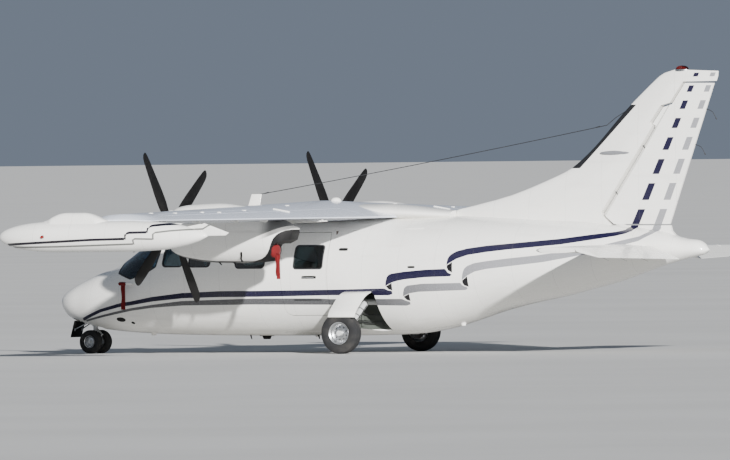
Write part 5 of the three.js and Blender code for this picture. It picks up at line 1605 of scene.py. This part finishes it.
def hinge_pieces(centre, axis, forward, arms, slots, pins):
    """A hinge's eye and arm, the slot that clears them and its pin, each added to a bmesh of its own."""
    centre, axis, forward = Vector(centre), Vector(axis), Vector(forward)
    half, slot_half = HINGE["width"] / 2, HINGE["slot_width"] / 2
    rod(arms, centre - axis * half, centre + axis * half, HINGE["eye"], 32)
    rod(arms, centre, centre + forward * HINGE["reach"], half, 16)
    rod(slots, centre - axis * slot_half, centre + axis * slot_half, HINGE["slot"], 48)
    for way in (1, -1):
        start = centre + axis * way * (half + 0.0004)
        rod(pins, start, start + axis * way * (slot_half - half + HINGE["hold"]), 0.0085, 16)


def build_fin():
    fin = carved(as_object("fin_skin", fin_form()), within(prism(FIN_OUTLINE, "y", -0.2, 0.2)))
    finished(fin, fin_paint, replaces="fin")
    (low_x, low_z), (way_x, way_z) = RUDDER_HINGE["low"], RUDDER_HINGE["axis"]
    slope = way_x / way_z
    section = [(0.0, -0.006), (0.0, 0.006), (-0.006, 0.016), (-0.014, 0.029), (-0.026, 0.042), (-0.05, 0.056),
               (-0.072, 0.068), (-1.5, 0.068), (-1.5, -0.068), (-0.072, -0.068), (-0.05, -0.056),
               (-0.026, -0.042), (-0.014, -0.029), (-0.006, -0.016)]
    nose = prism(section, "z", 1.65, 3.75)
    for vert in nose.verts:
        vert.co.x += low_x + (vert.co.z - low_z) * slope
    horn = prism([(-4.05, 3.06), (-4.13, 3.02), (-4.6, 3.02), (-4.6, 3.35), (-4.2, 3.35)], "y", -0.026, 0.026)
    arms, slots, pins = bmesh.new(), bmesh.new(), bmesh.new()
    forward = Vector((way_z, 0, -way_x))
    for along in RUDDER_HINGE["along"]:
        at = Vector((low_x + along * way_x, 0, low_z + along * way_z)) - forward * RUDDER_HINGE["set_back"]
        hinge_pieces(at, (way_x, 0, way_z), forward, arms, slots, pins)
    rudder = carved(as_object("rudder_skin", fin_form(0.004)), within(prism(RUDDER_OUTLINE, "y", -0.2, 0.2)),
                    within(combined(nose, ("UNION", horn))), less(slots))
    finished(rudder, fin_paint, "rudder", "white_paint", "rudder")
    add("rudder_hinge_arms", arms, dark_metal)
    add("rudder_hinge_pins", pins, leg_metal, "rudder")
    wicks = bmesh.new()
    for z in (2.785, 3.26):
        start = Vector((fin_trail(z) + 0.01, 0, z))
        bend, tip = start + Vector((-0.094, 0, -0.038)), start + Vector((-0.15, 0, -0.125))
        hose(wicks, [start, bend, tip], 0.0045, 8, bend=6)
        rod(wicks, tip, tip + Vector((-0.012, 0, -0.018)), 0.009, 12, 0.007)
    add("rudder_wicks", wicks, bay_black, "rudder")
    for side, label in SIDES:
        def spot(x, z, way, out=0.0):
            return Vector((x, way * (fin_half(z) * 0.9 + out), z))
        lens = blister(-3.54, 2.68, 0.245, 0.031, side,
                       ((1.0, -0.03), (0.98, 0.0), (0.8, 0.008), (0.4, 0.012), (0.02, 0.013)), 2, spot)
        add(f"fin_lens_{label}", lens, lens_grey)


def plane_form(ys, section):
    """A flying surface across the aircraft; section(y) gives its lead, chord, thickness, shape and tilt."""
    def place(y, turn):
        lead, chord, thick, shape, tilt, hinge = section(y)
        s = (1 + math.cos(turn)) / 2
        back, up = s * chord, flank(turn) * thick / 2 * shape(-s)[1]
        point = Vector((lead - back - hinge.x, 0, up))
        point.rotate(Matrix.Rotation(-math.radians(tilt), 3, "Y"))
        return point + Vector((hinge.x, y, hinge.z))
    return loft(place, ys, 48)


STAB_SHAPE = Curve(((0.0, 0.0), (-0.03, 0.42), (-0.12, 0.78), (-0.3, 1.0), (-0.62, 0.94), (-1.0, 0.62)))
ELEVATOR_SHAPE = Curve(((0.0, 0.15), (-0.03, 0.7), (-0.12, 1.0), (-0.45, 0.72), (-1.0, 0.07)))


def build_tailplane():
    arms = bmesh.new()

    def stab(y):
        share = abs(y) / STABILISER["half"]
        lead = STABILISER["lead"] - STABILISER["sweep"] * share
        round_off = 0.06 * max(0.0, (abs(y) - STABILISER["tip"]) / 0.06) ** 2
        return (lead - round_off, lead - round_off - STABILISER["rear"], 0.128 - 0.05 * share, STAB_SHAPE, 0,
                Vector((0, 0, ELEVATOR["z"])))
    tip = spread(STABILISER["tip"], STABILISER["half"], 5)
    ys = [*(-y for y in reversed(tip)), *spread(-2.25, 2.25, 21), *tip]
    add("tailplane_skin", plane_form(ys, stab), tail_paint, replaces="stabiliser")
    for side, label in SIDES:

        def elevator(y):
            share = (abs(y) - ELEVATOR["inner"]) / (ELEVATOR["tip"] - ELEVATOR["inner"])
            chord = 0.47 - 0.145 * share
            return (ELEVATOR["x"] + 0.05, chord + 0.05, 0.074 - 0.022 * share, ELEVATOR_SHAPE,
                    ELEVATOR["droop"], Vector((ELEVATOR["x"], 0, ELEVATOR["z"])))
        ys = [side * y for y in spread(ELEVATOR["inner"], ELEVATOR["tip"], 20)]
        slots, pins = bmesh.new(), bmesh.new()
        for y in (0.7, 1.7):
            hinge_pieces((ELEVATOR["x"], side * y, ELEVATOR["z"]), (0, 1, 0), (1, 0, 0), arms, slots, pins)
        panel = carved(as_object(f"elevator_{label}_skin", plane_form(ys, elevator)), less(slots))
        finished(panel, tail_paint, f"elevator_{label}", "white_paint", f"elevator_{label}")
        add(f"elevator_{label}_pins", pins, leg_metal, f"elevator_{label}")
        wicks = bmesh.new()
        tilt = math.radians(ELEVATOR["droop"])
        for y in (1.3, 1.85, 2.32):
            chord = elevator(y)[1] - 0.06
            start = Vector((ELEVATOR["x"] - chord * math.cos(tilt), side * y,
                            ELEVATOR["z"] - chord * math.sin(tilt)))
            rod(wicks, start, start + Vector((-0.12, side * 0.02, -0.045)), 0.0022, 8, 0.0014)
        add(f"elevator_{label}_wicks", wicks, bay_black, f"elevator_{label}")
    add("elevator_hinge_arms", arms, dark_metal)


# Landing gear
# Outer face of a rim, from its middle: shares of the rim's radius and of half its width
RIM = (
    (0.0, 0.42), (0.3, 0.42), (0.34, 0.36), (0.4, 0.18), (0.72, 0.12), (0.84, 0.3), (0.9, 0.66), (1.0, 0.78),
    (1.045, 0.86), (1.05, 0.8), (0.97, 0.7))


def tyre_profile(radius, half, rim, grooves):
    """Half of a tyre's outline, as (radius, y), with grooves at the given y."""
    points = [(rim, -half * 0.72), (rim + 0.006, -half * 0.9), (rim + 0.25 * (radius - rim), -half * 0.985),
              (rim + 0.5 * (radius - rim), -half), (rim + 0.72 * (radius - rim), -half * 0.96),
              (radius * 0.955, -half * 0.83), (radius * 0.985, -half * 0.64)]
    for y in grooves:
        points += [(radius, y - 0.005), (radius - 0.006, y - 0.003), (radius - 0.006, y + 0.003),
                   (radius, y + 0.005)]
    mirrored = [(r, -y) for r, y in reversed(points[:7])]
    return points + mirrored


def wheel_pieces(name, size, x, y, body, node, outward):
    """A tyre and its rim: the rim has a dished face with a ring of round holes, bolts and a hub cap."""
    centre = (x, y, size["z"])
    grooves = (-0.4 * size["half"], 0.0, 0.4 * size["half"])
    tyre_form = turned(tyre_profile(size["radius"], size["half"], size["rim"], grooves), "y", centre, 96)
    inner = turned([(size["rim"] - 0.012, -size["half"] * 0.7), (size["rim"], -size["half"] * 0.72),
                    (size["rim"], size["half"] * 0.72), (size["rim"] - 0.012, size["half"] * 0.7)], "y",
                   centre, 96)
    poured(inner, tyre_form)
    add(f"{name}_tyre", tyre_form, tyre, body, "tyre_rubber", node)
    rim, half = size["rim"], size["half"]
    face = [(rim * r, half * d) for r, d in RIM]
    outline = face + [(r, -d) for r, d in reversed(face)]
    disc = as_object(f"{name}_rim", turned(outline, "y", centre, 96))
    holes = bmesh.new()
    for k in range(9):
        turn = k * math.tau / 9
        spot = Vector((x + math.cos(turn) * rim * 0.57, y, size["z"] + math.sin(turn) * rim * 0.57))
        rod(holes, spot - Vector((0, half, 0)), spot + Vector((0, half, 0)), rim * 0.085, 20)
    carved(disc, less(holes))
    finished(disc, rim_metal, body, "gear_metal")
    small = bmesh.new()
    for k in range(9):
        turn = (k + 0.5) * math.tau / 9
        spot = Vector((x + math.cos(turn) * rim * 0.74, y, size["z"] + math.sin(turn) * rim * 0.74))
        for way in (1, -1):
            rod(small, spot, spot + Vector((0, way * half * 0.24, 0)), rim * 0.045, 6)
    cap = rim * 0.27
    rod(small, centre, (x, y + outward * half * 0.62, size["z"]), cap, 32, cap * 0.82)
    add(f"{name}_bolts", small, leg_metal, body, "gear_metal")


def torque_link(bm, top, bottom, knee, across, radius=0.012):
    """Two arms of two bars each that meet at a knee; across is half the width between the bars."""
    top, bottom, knee, across = Vector(top), Vector(bottom), Vector(knee), Vector(across)
    for start in (top, bottom):
        for way in (1, -1):
            rod(bm, start + across * way, knee + across * way * 0.5, radius, 12, radius * 0.75)
        rod(bm, start - across * 1.3, start + across * 1.3, radius * 1.1, 14)
        rod(bm, start.lerp(knee, 0.45) - across * 0.75, start.lerp(knee, 0.45) + across * 0.75, radius * 0.7,
            10)
    rod(bm, knee - across * 0.8, knee + across * 0.8, radius * 1.2, 14)


def build_main_gear():
    for side, label in SIDES:
        x, z = MAIN["x"], MAIN["z"]
        top, foot = Vector((x, side * 0.42, 0.7)), Vector((x, side * 1.005, 0.298))
        leg = bmesh.new()
        rod(leg, top, top.lerp(foot, 0.62), 0.0455, 40, 0.0445)
        rod(leg, top.lerp(foot, 0.58), top.lerp(foot, 0.635), 0.0455, 40)
        rod(leg, (-0.2598, side * 0.43, 0.69), (0.2874, side * 0.43, 0.69), 0.0395, 32)
        for at in (-0.2, -0.1, 0.03, 0.19, 0.26):
            rod(leg, (at - 0.012, side * 0.43, 0.69), (at + 0.012, side * 0.43, 0.69), 0.04, 32)
        rod(leg, (x, side * 0.99, z), (x, side * 1.222, z), 0.0355, 32)
        rod(leg, (x, side * 1.203, z), (x, side * 1.221, z), 0.022, 6)
        side_plate(leg, side, (x - 0.051, 0.981, 0.231), (x + 0.051, 1.041, 0.334), 0.014, 3)
        across = Vector((0, 0.566, side * 0.824)) * 0.024
        torque_link(leg, (x + 0.045, side * 0.771, 0.459), (x + 0.045, side * 0.985, 0.298),
                    (x + 0.145, side * 0.878, 0.418), across, 0.012)
        add(f"main_leg_{label}_strut", leg, leg_paint, slot="gear_metal", replaces=f"main_leg_{label}")
        chrome = bmesh.new()
        rod(chrome, top.lerp(foot, 0.6), foot, 0.036, 40)
        add(f"main_leg_{label}_piston", chrome, rim_metal, slot="gear_metal")
        brake = turned([(0.03, 0.0), (0.106, 0.0), (0.111, 0.004), (0.111, 0.018), (0.106, 0.022),
                        (0.03, 0.022)], "y", (x, side * 1.042 - 0.011, z), 64)
        side_plate(brake, side, (x - 0.116, 1.018, z - 0.05), (x - 0.058, 1.056, z + 0.05), 0.01)
        for at in (-0.03, 0.03):
            rod(brake, (x - 0.088, side * 1.02, z + at), (x - 0.088, side * 1.005, z + at), 0.015, 20)
        add(f"brake_{label}", brake, dark_metal, slot="gear_metal")
        line = hose(bmesh.new(),
                    [(x - 0.088, side * 1.004, z + 0.03), (x - 0.08, side * 0.97, z + 0.07),
                     (x - 0.06, side * 0.93, z + 0.1), (x - 0.062, side * 0.84, 0.44),
                     (x - 0.058, side * 0.72, 0.505), (x - 0.056, side * 0.6, 0.585),
                     (x - 0.056, side * 0.52, 0.645)], 0.006, bend=8)
        for share in (0.3, 0.5):
            ring = top.lerp(foot, share)
            rod(line, ring - (foot - top).normalized() * 0.008, ring + (foot - top).normalized() * 0.008,
                0.048, 32)
        add(f"brake_{label}_hose", line, bay_black)
        wheel_pieces(f"main_wheel_{label}", MAIN, x, side * MAIN["y"], f"main_wheel_{label}",
                     f"main_wheel_{label}", side)


def build_nose_gear():
    x, z = NOSE["x"], NOSE["z"]
    upper = turned([(0.0308, 0.372), (0.046, 0.372), (0.046, 0.6395), (0, 0.6395), (0, 0.4263),
                    (0.0308, 0.4263), (0.0308, 0.372)], "z", (x, 0, 0), 48)
    rod(upper, (x + 0.03, 0, 0.557), (4.7965, 0, 0.502), 0.0195, 24)
    for at in (0.43, 0.5, 0.58):
        rod(upper, (x + 0.036, -0.02, at), (x + 0.036, 0.02, at), 0.012, 14)
    add("nose_leg_upper", upper, leg_paint, slot="gear_metal", replaces="nose_leg")
    lower = bmesh.new()
    rod(lower, (x, 0, 0.18), (x, 0, 0.366), 0.0335, 40)
    rod(lower, (x, -0.189, z), (x, 0.189, z), 0.0205, 24)
    plate(lower, (x - 0.033, -0.044, 0.129), (x + 0.033, 0.044, 0.199), 0.01, 3)
    torque_link(lower, (x - 0.032, 0, 0.33), (x - 0.032, 0, 0.187), (x - 0.098, 0, 0.262), (0, 0.015, 0),
                0.009)
    add("nose_leg_lower", lower, leg_paint, "nose_steering", "gear_metal", "nose_steering_leg")
    stem = bmesh.new()
    rod(stem, (x, 0, 0.36), (x, 0, 0.419), 0.0298, 40)
    add("nose_leg_stem", stem, rim_metal, "nose_steering")
    for side, label in SIDES:
        wheel_pieces(f"nose_wheel_{label}", NOSE, x, side * NOSE["y"], "nose_wheels", f"nose_wheel_{label}",
                     side)


LEG_DOOR = (
    (0.76, 0.842), (0.87, 0.815), (0.98, 0.765), (1.085, 0.69), (1.18, 0.615), (1.24, 0.555), (1.268, 0.5))


def build_gear_doors():
    for side, label in SIDES:
        outer = Curve(tuple((-y, z) for y, z in LEG_DOOR))
        ys = spread(LEG_DOOR[0][0], LEG_DOOR[-1][0], 24)
        bm = bmesh.new()
        chain = [bm.verts.new((-0.15, side * y, outer(-y)[1])) for y in ys]
        edges = [bm.edges.new(pair) for pair in zip(chain, chain[1:])]
        made = bmesh.ops.extrude_edge_only(bm, edges=edges)["geom"]
        bmesh.ops.translate(bm, verts=[g for g in made if isinstance(g, bmesh.types.BMVert)],
                            vec=(0.405, 0, 0))
        door = as_object(f"main_leg_door_{label}_skin", faced(bm))
        wall = door.modifiers.new("wall", "SOLIDIFY")
        wall.thickness = 0.018
        wall.offset = -1 if sum(f.normal.z for f in door.data.polygons) > 0 else 1
        soft = door.modifiers.new("soft", "BEVEL")
        soft.width = 0.004
        soft.segments = 2
        finished(settled(door), plain_paint, replaces=f"main_leg_door_{label}")


# Stage, light and camera
def build_stage():
    bm = bmesh.new()
    bmesh.ops.create_grid(bm, x_segments=40, y_segments=40, size=12000)
    floor = as_object("floor", bm)
    finish = Finish("floor", roughness=0.9)
    cloud = finish.noise(0.15, 5)
    finish.set(base_color=finish.mix(cloud.rise(0.3, 0.7), srgb(180, 179, 176), srgb(188, 187, 184)))
    floor.data.materials.append(finish.material)

    world = bpy.data.worlds.new("studio")
    world.use_nodes = True
    world.node_tree.nodes["Background"].inputs[0].default_value = (0.55, 0.66, 0.85, 1)
    world.node_tree.nodes["Background"].inputs[1].default_value = 0.3
    bpy.context.scene.world = world

    for name, energy, heading, softness in (
            ("key_light", 10.5, (2.25, -2.4, -1.0), 1.2), ("fill_light", 0.2, (-0.6, -1.0, -0.8), 40)):
        lamp = bpy.data.lights.new(name, "SUN")
        lamp.energy = energy
        lamp.angle = math.radians(softness)
        lamp_object = bpy.data.objects.new(name, lamp)
        lamp_object.rotation_mode = "QUATERNION"
        lamp_object.rotation_quaternion = Vector(heading).to_track_quat("-Z", "Y")
        bpy.context.scene.collection.objects.link(lamp_object)


def build_camera():
    """A long lens far off the port side, a little aft of the beam, near eye height."""
    away, aim_x, eye = 200.0, 0.346, 2.62
    heading = Vector((0.4726, -0.8813, 0))
    tip_down, roll = 0.273, -0.6
    camera = bpy.data.cameras.new("camera")
    camera.sensor_width = 36
    camera.lens = 724.9
    camera.clip_start = 1
    camera.clip_end = 40000
    seen_from = bpy.data.objects.new("camera", camera)
    seen_from.location = Vector((aim_x, 0, eye)) - heading * away
    look = Vector((heading.x, heading.y, -math.tan(math.radians(tip_down))))
    seen_from.rotation_mode = "QUATERNION"
    seen_from.rotation_quaternion = look.to_track_quat("-Z", "Y") @ Quaternion((0, 0, 1), math.radians(roll))
    bpy.context.scene.collection.objects.link(seen_from)
    bpy.context.scene.camera = seen_from


build_camera()
build_stage()
build_fuselage()
build_windows()
build_wing()
build_tanks()
build_nacelles()
build_propellers()
build_fin()
build_tailplane()
build_main_gear()
build_nose_gear()
build_gear_doors()
build_wells()
build_cabin()
build_small_parts()
